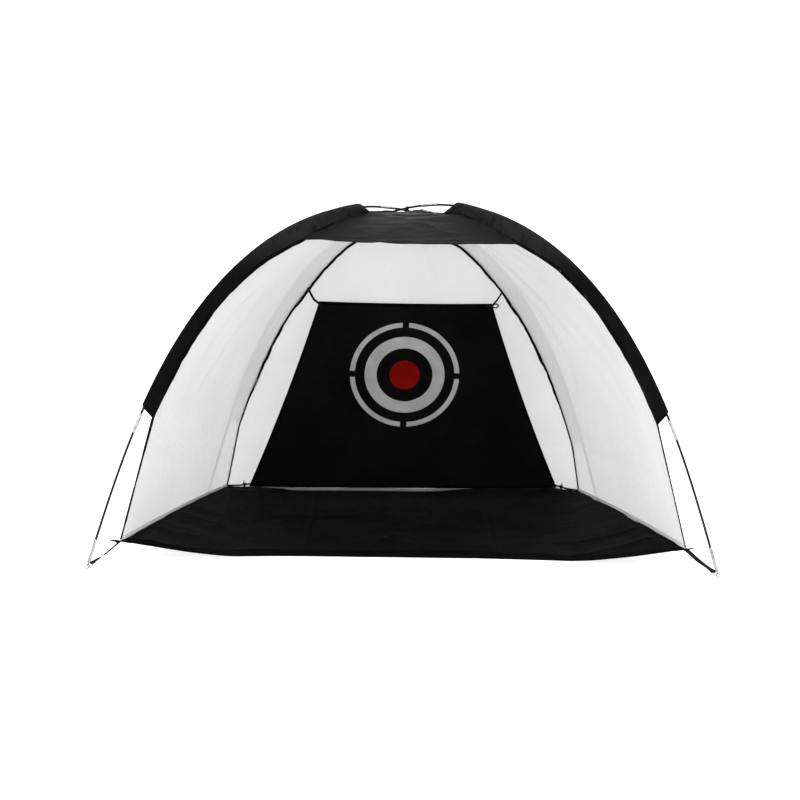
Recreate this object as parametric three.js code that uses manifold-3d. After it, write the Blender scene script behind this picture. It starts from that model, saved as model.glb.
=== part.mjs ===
// A golf chipping net: two crossed shock-corded rods bent into a dome, with netting at the back and
// sides, a cloth roof strip, a cloth floor and a hanging target. Millimetres, +X right, +Y back,
// +Z up. The origin is on the ground, under the middle of the object's box.
import * as THREE from 'three';
import { mergeVertices } from 'three/addons/utils/BufferGeometryUtils.js';
import Module from 'manifold-3d';

const wasm = await Module();
wasm.setup();

// ---------------------------------------------------------------- driving dimensions

// Where the four rod ends stand, and how steeply they leave the ground.
const frontSpan = 2000;
const rearSpan = 1494;
const depth = 1402;
const footHeight = 17.4;
const endSlope = THREE.MathUtils.degToRad(69.74);
const slopeDifference = THREE.MathUtils.degToRad(0.36); // so that one rod passes over the other

// Rods: hollow fibreglass sections that butt inside steel ferrules.
const rodRadius = 4;
const rodBore = 2.6;
const firstJoint = 455;
const jointPitch = 433;
const sectionCount = 8;
const ferruleInside = 4.4;
const ferruleOutside = 5.2;
const ferruleBelowJoint = 15;
const ferruleLength = 66;
const tipLength = 80;
const tipPlug = 6; // thickness of the tip's closed end, which the pin goes through
const cordRadius = 1.25;
const cordStart = 62;
const buttGap = 0.5;

// Foot: a pin with an eye stands in the rod's end, and a D-ring links the eye to the floor's strap.
const pinRadius = 2.1;
const pinInside = 50;
const eyeRadius = 6.6;
const wireRadius = 1.4;
const eyeBelowTip = 10;
const ringHalfWidth = 12;
const ringLength = 16;
const strapWidth = 19;
const strapThickness = 1.6;

// Seams: distance along the rod from the foot, and how far inside the rod the seam hangs there.
const frontSeam = [[500, 46], [900, 42], [1150, 45], [1360, 55], [1718, 25], [1850, 11]];
const rearSeam = [[230, 49], [970, 52], [1280, 39], [1524, 11]];
const bindingRadius = 1.8;
const sleeveBore = 7.2;
const sleeveWall = 1;
const sleeveHemHalf = 0.8;

// The strap round both rods where they cross.
const crossingDistance = 1868; // along the rods from their front feet
const tieHalfDepth = 9.5;
const tieHalfHeight = 11;
const tieWall = 1.4;
const tieWidth = 8;

// Each leg: which sign of X, its seam, its sleeve's two ends, and where the floor's corner is held,
// as a distance in from the foot and a height.
const legs = [
  { name: 'front_left', side: -1, front: true, sleeve: [525, 1690], corner: [116, 74] },
  { name: 'front_right', side: 1, front: true, sleeve: [525, 1690], corner: [116, 74] },
  { name: 'rear_left', side: -1, front: false, sleeve: [325, 1375], corner: [94, 47] },
  { name: 'rear_right', side: 1, front: false, sleeve: [250, 1375], corner: [94, 47] },
];

// Cloth.
const netThickness = 1.2;
const clothThickness = 1.5;
const edgeGap = 3.8; // from a seam's centre line to the cloth beside it
const netRows = 14;
const netColumns = 8;
const netBeyondFloor = 4;
const netOverFloor = 3;
const roofEdge = 1368; // along the front rods
const floorFrontSetback = 177;
const floorSideBow = 8; // how far the side edges bow up between their corners
const floorSideFlat = 0.6; // the share of the half width that is flat on the ground
const floorRearFlat = 0.8;
// The rear edge's height, from its left end at -1 to its right end at 1.
const floorRearHeight = [[-1, 47], [-0.85, 49], [-0.6, 37], [0.1, 40], [0.55, 60], [0.86, 72], [1, 48]];

// Target sheet: half width and place of its top and bottom edges.
const targetTop = { half: 316, y: 394, z: 780 };
const targetBottom = { half: 580, y: 539, z: 73 };
const targetThickness = 1.6;
const targetWaist = 10; // how far the side edges curve in
const topTieSeam = 975; // where the top ties leave the rear seams
const tieRadius = 1.5;
const tieForward = 2.4; // so that it starts in front of the rear net

// ---------------------------------------------------------------- materials

const finish = (color, roughness, metalness) =>
  new THREE.MeshStandardMaterial({ color, roughness, metalness });
const fibreglass = finish(0x161616, 0.4, 0);
const steel = finish(0xb9bcc0, 0.3, 1);
const elastic = finish(0xd8d8d4, 0.8, 0);
const blackCloth = finish(0x17171a, 0.75, 0);
const targetCloth = finish(0x0b0b0c, 0.7, 0);
const netting = finish(0xdcdcdc, 0.85, 0);
const webbing = finish(0x111112, 0.8, 0);

const model = new THREE.Group();

function piece(name, geometry, material) {
  const mesh = new THREE.Mesh(geometry, material);
  mesh.name = name;
  model.add(mesh);
  return mesh;
}

// ---------------------------------------------------------------- solids

/** Indexed geometry from points and triangles, turned to face outwards. */
function solid(points, triangles) {
  let volume = 0;
  for (const [a, b, c] of triangles) {
    volume += points[a].dot(new THREE.Vector3().crossVectors(points[b], points[c]));
  }
  const outward = volume > 0 ? triangles : triangles.map(([a, b, c]) => [a, c, b]);
  const geometry = new THREE.BufferGeometry().setFromPoints(points);
  geometry.setIndex(outward.flat());
  geometry.computeVertexNormals();
  return geometry;
}

/** A solid through outlines with equal numbers of points; looped, its last outline meets its first. */
function loft(outlines, looped = false) {
  const count = outlines[0].length;
  const triangles = [];
  const spans = looped ? outlines.length : outlines.length - 1;
  for (let i = 0; i < spans; i++) {
    const here = i * count;
    const next = ((i + 1) % outlines.length) * count;
    for (let j = 0; j < count; j++) {
      const k = (j + 1) % count;
      triangles.push([here + j, here + k, next + k], [here + j, next + k, next + j]);
    }
  }
  const last = (outlines.length - 1) * count;
  for (let j = 1; !looped && j < count - 1; j++) {
    triangles.push([0, j + 1, j], [last, last + j, last + j + 1]);
  }
  return solid(outlines.flat(), triangles);
}

/** A thin closed sheet of the given thickness about a grid of rows of points. */
function sheet(rows, thickness) {
  const across = rows[0].length;
  const last = rows.length - 1;
  const normalAt = (i, j) => {
    const up = rows[Math.min(i + 1, last)][j].clone().sub(rows[Math.max(i - 1, 0)][j]);
    const along = rows[i][Math.min(j + 1, across - 1)].clone().sub(rows[i][Math.max(j - 1, 0)]);
    return along.cross(up).normalize().multiplyScalar(thickness / 2);
  };
  const face = (sign) =>
    rows.flatMap((row, i) => row.map((p, j) => p.clone().addScaledVector(normalAt(i, j), sign)));
  const points = [...face(1), ...face(-1)];
  const under = rows.length * across;
  const triangles = [];
  for (let i = 0; i < last; i++) {
    for (let j = 0; j < across - 1; j++) {
      const [a, b, c, d] = [[i, j], [i, j + 1], [i + 1, j + 1], [i + 1, j]].map(([r, q]) => r * across + q);
      triangles.push([a, b, c], [a, c, d]);
      triangles.push([under + a, under + c, under + b], [under + a, under + d, under + c]);
    }
  }
  const rim = [];
  for (let j = 0; j < across; j++) rim.push(j);
  for (let i = 1; i <= last; i++) rim.push(i * across + across - 1);
  for (let j = across - 2; j >= 0; j--) rim.push(last * across + j);
  for (let i = last - 1; i > 0; i--) rim.push(i * across);
  rim.forEach((a, n) => {
    const b = rim[(n + 1) % rim.length];
    triangles.push([a, under + a, under + b], [a, under + b, b]);
  });
  return solid(points, triangles);
}

/** A round outline in the plane of two directions. */
function circle(centre, first, second, radius, sides) {
  return Array.from({ length: sides }, (_, i) => {
    const angle = (2 * Math.PI * i) / sides;
    return centre.clone()
      .addScaledVector(first, radius * Math.cos(angle))
      .addScaledVector(second, radius * Math.sin(angle));
  });
}

/** A round bar or cord through points, with one direction that no part of it runs along. */
function bar(points, across, radius, sides, looped = false) {
  const count = points.length;
  const at = (i) => points[looped ? (i + count) % count : THREE.MathUtils.clamp(i, 0, count - 1)];
  return loft(points.map((p, i) => {
    const along = at(i + 1).clone().sub(at(i - 1)).normalize();
    const first = along.clone().cross(across).normalize();
    return circle(p, first, first.clone().cross(along), radius, sides);
  }), looped);
}

function toManifold(geometry) {
  const bare = geometry.clone();
  bare.deleteAttribute('normal');
  bare.deleteAttribute('uv');
  const merged = mergeVertices(bare, 1e-4);
  return new wasm.Manifold(new wasm.Mesh({
    numProp: 3,
    vertProperties: Float32Array.from(merged.attributes.position.array),
    triVerts: Uint32Array.from(merged.index.array),
  }));
}

/** One solid from several that overlap. */
function join(...geometries) {
  const whole = geometries.map(toManifold).reduce((sum, next) => sum.add(next)).getMesh();
  const geometry = new THREE.BufferGeometry();
  geometry.setAttribute('position', new THREE.BufferAttribute(whole.vertProperties, 3));
  geometry.setIndex(new THREE.BufferAttribute(whole.triVerts, 1));
  geometry.computeVertexNormals();
  return geometry;
}

// ---------------------------------------------------------------- bent rods

/**
 * An elastic rod pushed into a bow between two ends. From its top, where the slope is 0, the slope
 * follows slope'' = -sin(slope), as a pendulum's angle does, until it is level again with endSlope.
 */
function bentRod(from, to, slopeAtEnd) {
  const swing = Math.sin(slopeAtEnd / 2);
  let [mean, geometric] = [1, Math.sqrt(1 - swing * swing)];
  for (let i = 0; i < 6; i++) [mean, geometric] = [(mean + geometric) / 2, Math.sqrt(mean * geometric)];
  const halfLength = Math.PI / (2 * mean);
  const steps = 400;
  const h = halfLength / steps;
  let [slope, rate, x, drop] = [0, 2 * swing, 0, 0];
  const half = [[0, 0]];
  for (let i = 0; i < steps; i++) {
    const before = slope;
    rate -= (Math.sin(slope) * h) / 2;
    slope += rate * h;
    rate -= (Math.sin(slope) * h) / 2;
    x += Math.cos((before + slope) / 2) * h;
    drop += Math.sin((before + slope) / 2) * h;
    half.push([x, drop]);
  }
  const reach = to.clone().sub(from);
  const scale = reach.length() / (2 * x);
  const along = reach.clone().normalize();
  const up = new THREE.Vector3(0, 0, 1);
  const middle = from.clone().add(to).divideScalar(2);
  const point = (sign, [px, down]) =>
    middle.clone().addScaledVector(along, sign * px * scale).addScaledVector(up, (drop - down) * scale);
  const points = [...half.slice(1).reverse().map((p) => point(-1, p)), ...half.map((p) => point(1, p))];
  const step = h * scale;
  const length = 2 * halfLength * scale;
  const at = (s) => {
    const place = THREE.MathUtils.clamp(s / step, 0, points.length - 1.001);
    const i = Math.floor(place);
    return points[i].clone().lerp(points[i + 1], place - i);
  };
  const normal = along.clone().cross(up);
  /** Place, direction and the in-plane direction towards the inside of the bow, at arc length s. */
  const frame = (s) => {
    const tangent = at(Math.min(s + 5, length)).sub(at(Math.max(s - 5, 0))).normalize();
    return { point: at(s), tangent, inward: tangent.clone().cross(normal), normal };
  };
  return { frame, length };
}

const foot = (side, front) =>
  new THREE.Vector3((side * (front ? frontSpan : rearSpan)) / 2, (front ? -depth : depth) / 2, footHeight);
const rods = {
  left: bentRod(foot(-1, true), foot(1, false), endSlope - slopeDifference / 2),
  right: bentRod(foot(1, true), foot(-1, false), endSlope + slopeDifference / 2),
};

/** `steps` equal steps from a to b, both ends included. */
const spaced = (a, b, steps) => Array.from({ length: steps + 1 }, (_, i) => a + ((b - a) * i) / steps);

/** Outlines round a rod at a list of arc lengths. */
const rodOutlines = (rod, stations, radius, sides) => stations.map((s) => {
  const { point, inward, normal } = rod.frame(s);
  return circle(point, inward, normal, radius, sides);
});

function hollowRod(rod, stations, outside, inside) {
  const outer = rodOutlines(rod, stations, outside, 8);
  const inner = rodOutlines(rod, stations, inside, 8);
  return loft([...outer, ...inner.reverse()], true);
}

for (const [side, rod] of Object.entries(rods)) {
  const joints = spaced(firstJoint, firstJoint + (sectionCount - 2) * jointPitch, sectionCount - 2);
  const ends = [tipPlug + buttGap, ...joints, rod.length - tipPlug - buttGap];
  for (let i = 0; i < sectionCount; i++) {
    // Sections and ferrules have outlines at the same places, so that both bend alike.
    const [a, b] = [ends[i], ends[i + 1]];
    const middle = spaced(a + (i ? ferruleLength - ferruleBelowJoint : 0),
      b - (i < sectionCount - 1 ? ferruleBelowJoint : 0), 5);
    const start = i ? [a + buttGap] : [];
    const end = i < sectionCount - 1 ? [b] : [];
    const tube = hollowRod(rod, [...start, ...middle, ...end], rodRadius, rodBore);
    piece(`${side}_rod_section_${i + 1}`, tube, fibreglass);
  }
  joints.forEach((joint, i) => {
    const stations = [joint - ferruleBelowJoint, joint, joint - ferruleBelowJoint + ferruleLength];
    piece(`${side}_rod_ferrule_${i + 1}`, hollowRod(rod, stations, ferruleOutside, ferruleInside), steel);
  });
  const cord = loft(rodOutlines(rod, spaced(cordStart, rod.length - cordStart, 40), cordRadius, 5));
  piece(`${side}_rod_shock_cord`, cord, elastic);
}

// ---------------------------------------------------------------- legs: feet, seams, sleeves

/** Height of a line through [distance, value] pairs, eased between them. */
function eased(pairs, at) {
  if (at <= pairs[0][0]) return pairs[0][1];
  for (let i = 1; i < pairs.length; i++) {
    const [[a, low], [b, high]] = [pairs[i - 1], pairs[i]];
    if (at <= b) return THREE.MathUtils.lerp(low, high, THREE.MathUtils.smoothstep(at, a, b));
  }
  return pairs[pairs.length - 1][1];
}

for (const leg of legs) {
  leg.rod = (leg.side < 0) === leg.front ? rods.left : rods.right;
  leg.seam = leg.front ? frontSeam : rearSeam;
  leg.foot = foot(leg.side, leg.front).setZ(0);
  /** The rod's frame at a distance up from this leg's foot, with the tangent pointing up the leg. */
  leg.frame = (d) => {
    const f = leg.rod.frame(leg.front ? d : leg.rod.length - d);
    if (!leg.front) f.tangent.negate();
    return f;
  };
  const heading = foot(-leg.side, !leg.front).setZ(0).sub(leg.foot).normalize();
  leg.heading = heading;
  leg.normal = new THREE.Vector3().crossVectors(heading, new THREE.Vector3(0, 0, 1));
  /** A point in the rod's upright plane: distance in from the foot, and height. */
  leg.inPlane = (inwards, up) => leg.foot.clone().addScaledVector(heading, inwards).setZ(up);
  leg.cornerPoint = leg.inPlane(...leg.corner);
  leg.seamAt = (d) => {
    const { point, inward } = leg.frame(d);
    return point.addScaledVector(inward, eased(leg.seam, d));
  };
  // The seam runs from the top down the rod, then straight from the sleeve's end to the corner.
  leg.seamTop = leg.seam[leg.seam.length - 1][0] - 6;
  leg.seamLow = leg.sleeve[0] - 12;
  leg.seamPoint = (t) => {
    const low = leg.seamAt(leg.seamLow);
    const straight = low.distanceTo(leg.cornerPoint);
    const travelled = t * (leg.seamTop - leg.seamLow + straight);
    const onRod = leg.seamTop - leg.seamLow;
    if (travelled <= onRod) return leg.seamAt(leg.seamTop - travelled);
    return low.lerp(leg.cornerPoint, (travelled - onRod) / straight);
  };
}
const leg = (name) => legs.find((l) => l.name === name);

/** The rod's metal end: a tube over the rod, closed but for the pin's hole. */
function tip(l) {
  const [outside, inside, hole] = [ferruleOutside, ferruleInside, pinRadius + 0.4];
  const outline = [[0, hole], [0, outside - 0.8], [0.8, outside], [tipLength, outside],
    [tipLength, inside], [tipPlug, inside], [tipPlug, hole]];
  const { point, tangent } = l.frame(0);
  const profile = outline.map(([s, r]) => new THREE.Vector2(r, s));
  const geometry = new THREE.LatheGeometry([...profile, profile[0]], 12);
  const mesh = piece(`${l.name}_rod_tip`, geometry, steel);
  mesh.position.copy(point);
  mesh.quaternion.setFromUnitVectors(new THREE.Vector3(0, 1, 0), tangent);
}

/** The pin that stands in the tip, with the eye under it, in the rod's plane. */
function pin(l) {
  const { point, tangent, normal } = l.frame(0);
  const eye = point.clone().addScaledVector(tangent, -eyeBelowTip);
  const across = tangent.clone().cross(normal);
  const loop = circle(eye, tangent, across, eyeRadius, 16);
  const ends = [-eyeBelowTip + eyeRadius - 0.3, pinInside];
  const shank = ends.map((s) => point.clone().addScaledVector(tangent, s));
  const eyeAndShank = join(bar(loop, normal, wireRadius, 6, true), bar(shank, normal, pinRadius, 8));
  piece(`${l.name}_foot_pin`, eyeAndShank, steel);
  return eye;
}

/** The D-ring: its round end lies in the eye, and its bar is in the strap's loop. */
function ring(l, eye) {
  const pull = l.cornerPoint.clone().sub(eye).normalize();
  const down = pull.clone().cross(l.normal);
  if (down.z > 0) down.negate();
  const apex = eye.clone().addScaledVector(pull, 1.4).addScaledVector(down, 1.9);
  const centre = eye.clone().addScaledVector(pull, 1.4 + ringLength);
  const along = centre.clone().sub(apex).normalize();
  const straight = apex.distanceTo(centre) - ringHalfWidth;
  const place = (a, b) =>
    apex.clone().addScaledVector(along, a).addScaledVector(l.normal, b);
  const points = [];
  for (let i = 0; i <= 10; i++) {
    const angle = (Math.PI * i) / 10;
    points.push(place(ringHalfWidth * (1 - Math.sin(angle)), ringHalfWidth * Math.cos(angle)));
  }
  const end = ringHalfWidth + straight;
  points.push(place(end - 1.6, -ringHalfWidth), place(end, -ringHalfWidth + 1.6));
  points.push(place(end, ringHalfWidth - 1.6), place(end - 1.6, ringHalfWidth));
  const flat = along.clone().cross(l.normal);
  piece(`${l.name}_foot_ring`, bar(points, flat, wireRadius, 6, true), steel);
  return centre;
}

/** Webbing from the ring's bar to the floor's corner, with a sewn loop round the bar. */
function strap(l, barCentre) {
  const reach = l.cornerPoint.clone().sub(barCentre);
  const length = reach.length() - 3;
  const [hole, outside] = [wireRadius + 0.5, wireRadius + 0.5 + strapThickness];
  const profile = new THREE.Shape();
  const angle = Math.asin(strapThickness / outside);
  profile.absarc(0, 0, outside, angle, 2 * Math.PI - angle, false);
  profile.lineTo(length, -strapThickness / 2);
  profile.lineTo(length, strapThickness / 2);
  profile.closePath();
  profile.holes.push(new THREE.Path().absarc(0, 0, hole, 0, 2 * Math.PI, true));
  const settings = { depth: strapWidth, bevelEnabled: false, curveSegments: 8 };
  const geometry = new THREE.ExtrudeGeometry(profile, settings);
  geometry.translate(0, 0, -strapWidth / 2);
  const along = reach.normalize();
  const up = l.normal.clone().cross(along);
  const mesh = piece(`${l.name}_strap`, geometry, webbing);
  mesh.position.copy(barCentre);
  mesh.quaternion.setFromRotationMatrix(new THREE.Matrix4().makeBasis(along, up, l.normal));
}

/** The sleeve's section at a distance up the leg: a loop round the rod with a flat tail to the seam. */
function sleeveOutlines(l, d) {
  const { point, inward, normal } = l.frame(d);
  const place = (a, b) => point.clone().addScaledVector(inward, a).addScaledVector(normal, b);
  const tail = eased(l.seam, d);
  const round = (radius) => [45, 90, 135, 180, 225, 270, 315].map((degrees) => {
    const angle = THREE.MathUtils.degToRad(degrees);
    return place(radius * Math.cos(angle), radius * Math.sin(angle));
  });
  const outer = [place(tail, -sleeveHemHalf), place(tail, sleeveHemHalf), ...round(sleeveBore + sleeveWall)];
  const inner = [place(sleeveBore, -0.4), place(sleeveBore, 0.4), ...round(sleeveBore)];
  return { outer, inner };
}

/** Sleeve and the bound seam it is sewn to; a rear seam carries the target's top tie. */
function sleeve(l) {
  const [low, high] = l.sleeve;
  const steps = 14;
  const distance = (i) => low + ((high - low) * i) / steps;
  const sections = Array.from({ length: steps + 1 }, (_, i) => sleeveOutlines(l, distance(i)));
  const tube = loft([...sections.map((s) => s.outer), ...sections.map((s) => s.inner).reverse()], true);
  const line = Array.from({ length: steps + 6 }, (_, i) => l.seamPoint((0.985 * i) / (steps + 5)));
  const parts = [tube, bar(line, l.normal, bindingRadius, 6)];
  if (!l.front) {
    const from = l.seamAt(topTieSeam).add(new THREE.Vector3(0, -tieForward, 0));
    const to = new THREE.Vector3(l.side * (targetTop.half + 4), targetTop.y, targetTop.z + 3);
    parts.push(bar([from, to], new THREE.Vector3(0, 1, 0), tieRadius, 6));
  }
  piece(`${l.name}_sleeve`, join(...parts), l.front ? blackCloth : netting);
}

for (const l of legs) {
  tip(l);
  strap(l, ring(l, pin(l)));
  sleeve(l);
}

// ---------------------------------------------------------------- cloth and netting

/** A point between two seam points, kept clear of both seams. */
function between(a, b, v) {
  const across = b.clone().sub(a);
  const gap = edgeGap / across.length();
  return a.clone().addScaledVector(across, THREE.MathUtils.lerp(gap, 1 - gap, v));
}

/** Rows of points between two legs' seams, from a share t of the seams' length to another. */
function panel(a, b, [top, bottom], rows, columns) {
  return Array.from({ length: rows + 1 }, (_, i) => {
    const t = top + ((bottom - top) * i) / rows;
    const [first, last] = [a.seamPoint(t), b.seamPoint(t)];
    return Array.from({ length: columns + 1 }, (_, j) => between(first, last, j / columns));
  });
}

const panelTop = 0.012;
const panelFoot = 0.985;
const frontLeft = leg('front_left');
const frontRight = leg('front_right');
const rearLeft = leg('rear_left');
const rearRight = leg('rear_right');

const seamLength = frontLeft.seamTop - frontLeft.seamLow
  + frontLeft.seamAt(frontLeft.seamLow).distanceTo(frontLeft.cornerPoint);
const roofShare = (frontLeft.seamTop - roofEdge) / seamLength;
piece('roof', sheet(panel(frontLeft, frontRight, [panelTop, roofShare], 8, 6), clothThickness), blackCloth);

/** How far past `from` a value in 0..1 is, raised to a power: nothing before it, so that is truly flat. */
const beyond = (value, from, power) => Math.max(0, (value - from) / (1 - from)) ** power;

/**
 * The floor cloth: u from -1 to 1 across, v from 0 at the front to 1 at the rear. It lies on the
 * ground but for its sides and rear, which the nets hold up.
 */
function floorPoint(u, v) {
  const [front, rear] = [frontRight.cornerPoint, rearRight.cornerPoint];
  const across = Math.abs(u);
  const frontY = front.y + floorFrontSetback * (1 - across ** 4);
  const y = THREE.MathUtils.lerp(frontY, rear.y, v);
  const half = THREE.MathUtils.lerp(front.x, rear.x, v);
  const sideHeight = THREE.MathUtils.lerp(front.z, rear.z, v) + 4 * floorSideBow * v * (1 - v);
  const side = beyond(across, floorSideFlat, 1.6);
  const lift = sideHeight * side + eased(floorRearHeight, u) * beyond(v, floorRearFlat, 2) * (1 - side);
  return new THREE.Vector3(u * (half - 6), y, clothThickness / 2 + lift);
}

/** A net between two seams; low down it is drawn out to run along the edge of the floor. */
function net(name, a, b, edge) {
  const rows = panel(a, b, [panelTop, panelFoot], netRows, netColumns);
  const straight = rows[netRows].map((p) => p.clone());
  rows.forEach((row, i) => row.forEach((p, j) => {
    const inner = j > 0 && j < netColumns;
    const reach = inner ? beyond(i / netRows, 0.55, 2) : 0;
    p.addScaledVector(edge(j / netColumns).sub(straight[j]), reach);
  }));
  piece(name, sheet(rows, netThickness), netting);
}

const sideEdge = (side) => (v) =>
  floorPoint(side, v).add(new THREE.Vector3(side * netBeyondFloor, 0, netOverFloor));
const rearEdge = (v) => floorPoint(2 * v - 1, 0.994).add(new THREE.Vector3(0, netBeyondFloor, netOverFloor));
net('net_left', frontLeft, rearLeft, sideEdge(-1));
net('net_right', frontRight, rearRight, sideEdge(1));
net('net_rear', rearLeft, rearRight, rearEdge);

const floorRows = Array.from({ length: 15 }, (_, i) =>
  Array.from({ length: 15 }, (_, j) => floorPoint((2 * j) / 14 - 1, 0.004 + (0.99 * i) / 14)));
const lowerTies = [rearLeft, rearRight].map((l) => {
  const from = floorPoint(l.side, 0.994);
  const to = new THREE.Vector3(l.side * (targetBottom.half + 4), targetBottom.y + 4, targetBottom.z - 4);
  return bar([from, to], new THREE.Vector3(0, 0, 1), tieRadius, 6);
});
piece('floor', join(sheet(floorRows, clothThickness), ...lowerTies), blackCloth);

/** The target: a trapezoid cloth with slightly hollow sides, hung in a leaning plane. */
function target() {
  const height = Math.hypot(targetTop.y - targetBottom.y, targetTop.z - targetBottom.z);
  const outline = new THREE.Shape();
  const waist = (targetTop.half + targetBottom.half) / 2 - 2 * targetWaist;
  outline.moveTo(-targetBottom.half, -height);
  outline.lineTo(targetBottom.half, -height);
  outline.quadraticCurveTo(waist, -height / 2, targetTop.half, 0);
  outline.lineTo(-targetTop.half, 0);
  outline.quadraticCurveTo(-waist, -height / 2, -targetBottom.half, -height);
  const settings = { depth: targetThickness, bevelEnabled: false, curveSegments: 6 };
  const geometry = new THREE.ExtrudeGeometry(outline, settings);
  geometry.translate(0, 0, -targetThickness / 2);
  const mesh = piece('target_sheet', geometry, targetCloth);
  const lean = Math.atan2(targetBottom.y - targetTop.y, targetTop.z - targetBottom.z);
  mesh.rotation.x = Math.PI / 2 + lean;
  mesh.position.set(0, targetTop.y, targetTop.z);
}
target();

/** A short strap round both rods where they cross. */
function crossingTie() {
  const lower = frontLeft.frame(crossingDistance).point;
  const upper = frontRight.frame(crossingDistance).point;
  const outline = (grow) => {
    const [a, b] = [tieHalfDepth + grow, tieHalfHeight + grow];
    return [[-a, -b], [a, -b], [a, b], [-a, b]].map(([x, y]) => new THREE.Vector2(x, y));
  };
  const shape = new THREE.Shape(outline(tieWall));
  shape.holes.push(new THREE.Path(outline(0)));
  const geometry = new THREE.ExtrudeGeometry(shape, { depth: tieWidth, bevelEnabled: false });
  geometry.translate(0, 0, -tieWidth / 2);
  const mesh = piece('crossing_tie', geometry, webbing);
  const [right, back, up] = [[1, 0, 0], [0, 1, 0], [0, 0, 1]].map((axis) => new THREE.Vector3(...axis));
  mesh.quaternion.setFromRotationMatrix(new THREE.Matrix4().makeBasis(back, up, right));
  mesh.position.copy(lower).add(upper).divideScalar(2).setX(0);
}
crossingTie();

export default model;
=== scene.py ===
"""A golf chipping net: two crossed shock-corded rods bent into a dome, with netting at the back and
sides, a cloth roof strip, a cloth floor and a hanging target. Metres, +X right, +Y back, +Z up."""
import math

import bpy
import numpy as np
from mathutils import Matrix


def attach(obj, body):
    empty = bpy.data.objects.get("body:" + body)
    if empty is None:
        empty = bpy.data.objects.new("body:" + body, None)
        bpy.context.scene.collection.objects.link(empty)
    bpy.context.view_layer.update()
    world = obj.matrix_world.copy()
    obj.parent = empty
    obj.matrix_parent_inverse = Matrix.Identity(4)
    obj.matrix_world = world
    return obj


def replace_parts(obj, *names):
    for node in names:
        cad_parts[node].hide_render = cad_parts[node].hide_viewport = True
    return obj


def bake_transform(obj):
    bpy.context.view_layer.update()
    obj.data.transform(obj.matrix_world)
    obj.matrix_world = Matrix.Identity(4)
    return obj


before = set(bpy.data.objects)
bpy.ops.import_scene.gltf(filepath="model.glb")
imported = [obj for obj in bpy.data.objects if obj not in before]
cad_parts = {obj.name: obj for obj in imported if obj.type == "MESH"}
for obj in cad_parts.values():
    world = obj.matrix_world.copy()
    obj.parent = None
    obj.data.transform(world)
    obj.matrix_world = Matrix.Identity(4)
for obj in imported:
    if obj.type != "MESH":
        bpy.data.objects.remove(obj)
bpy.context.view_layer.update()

# ---------------- dimensions, as in the CAD

FRONT_SPAN, REAR_SPAN, DEPTH = 2.0, 1.494, 1.402
FOOT_HEIGHT = 0.0174
END_SLOPE = math.radians(69.74)
SLOPE_DIFFERENCE = math.radians(0.36)
ROD_RADIUS, ROD_BORE = 0.004, 0.0026
FIRST_JOINT, JOINT_PITCH, SECTIONS = 0.455, 0.433, 8
FERRULE_INSIDE, FERRULE_OUTSIDE = 0.0044, 0.0052
FERRULE_BELOW = 0.015
TIP_LENGTH, TIP_PLUG, BUTT_GAP = 0.08, 0.006, 0.0005
PIN_RADIUS, PIN_INSIDE = 0.0021, 0.05
EYE_RADIUS, WIRE_RADIUS, EYE_BELOW = 0.0066, 0.0014, 0.01
RING_HALF, RING_LENGTH = 0.012, 0.016
STRAP_WIDTH = 0.019
# Seams and the floor's rear edge as pairs: a place, and the distance in from the rod or up from the ground.
FRONT_SEAM = [(0.5, 0.046), (0.9, 0.042), (1.15, 0.045), (1.36, 0.055), (1.718, 0.025), (1.85, 0.011)]
SEAM_BELOW_TOP, SEAM_BELOW_SLEEVE = 0.006, 0.012
SEAM_DRAWN_UP = 0.006  # how much nearer its rod the left seam is at the roof's top, and the right further
REAR_SEAM = [(0.23, 0.049), (0.97, 0.052), (1.28, 0.039), (1.524, 0.011)]
ROOF_EDGE = 1.368
CROSSING = 1.868
ROOF_CORNERS = (0.014, -0.014)  # how much nearer the top than ROOF_EDGE its two front corners are
FLOOR_SETBACK, FLOOR_SIDE_BOW = 0.177, 0.008
FLOOR_SIDE_FLAT, FLOOR_REAR_FLAT = 0.6, 0.8
FLOOR_REAR_HEIGHT = [(-1, 0.047), (-0.85, 0.049), (-0.6, 0.037), (0.1, 0.040), (0.55, 0.060),
                     (0.86, 0.072), (1, 0.048)]
TARGET_TOP = (0.316, 0.394, 0.780)  # half width, y, z
TARGET_BOTTOM = (0.580, 0.539, 0.073)
TARGET_WAIST = 0.010
TOP_TIE_SEAM = 0.975
# A leg's name, side, whether it is in front, its sleeve's ends, and its floor corner's reach and height.
LEGS = [
    ("front_left", -1, True, (0.525, 1.690), (0.116, 0.074)),
    ("front_right", 1, True, (0.525, 1.690), (0.116, 0.074)),
    ("rear_left", -1, False, (0.325, 1.375), (0.094, 0.047)),
    ("rear_right", 1, False, (0.250, 1.375), (0.094, 0.047)),
]
UP = np.array([0.0, 0.0, 1.0])
SIDES = {"left": -1, "right": 1}

# Only the visual model has these.
CLOTH, NETTING, STRAP = 0.001, 0.0008, 0.0013  # thicknesses
HEMMED, ROOF_HEM, FLOOR_HEM, PATCH = 0.0022, 0.0018, 0.0021, 0.0034
SLEEVE_BORE, SLEEVE_PUFF, SLEEVE_WALL = 0.0082, 0.0045, 0.0006
SLEEVE_WRAP, SLEEVE_WRAP_SHARE = math.radians(112), 0.42
STITCH_PITCH, STITCH_SHARE, STITCH_RADIUS = 0.006, 0.6, 0.0004

# ---------------- numbers and noise


def vec(*xyz):
    return np.array(xyz, float)


def unit(v):
    return v / np.maximum(np.linalg.norm(v, axis=-1, keepdims=True), 1e-12)


def smooth(x, low=0.0, high=1.0):
    t = np.clip((np.asarray(x, float) - low) / (high - low), 0, 1)
    return t * t * (3 - 2 * t)


LATTICE = np.random.RandomState(11).uniform(-1, 1, (256, 256))


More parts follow.
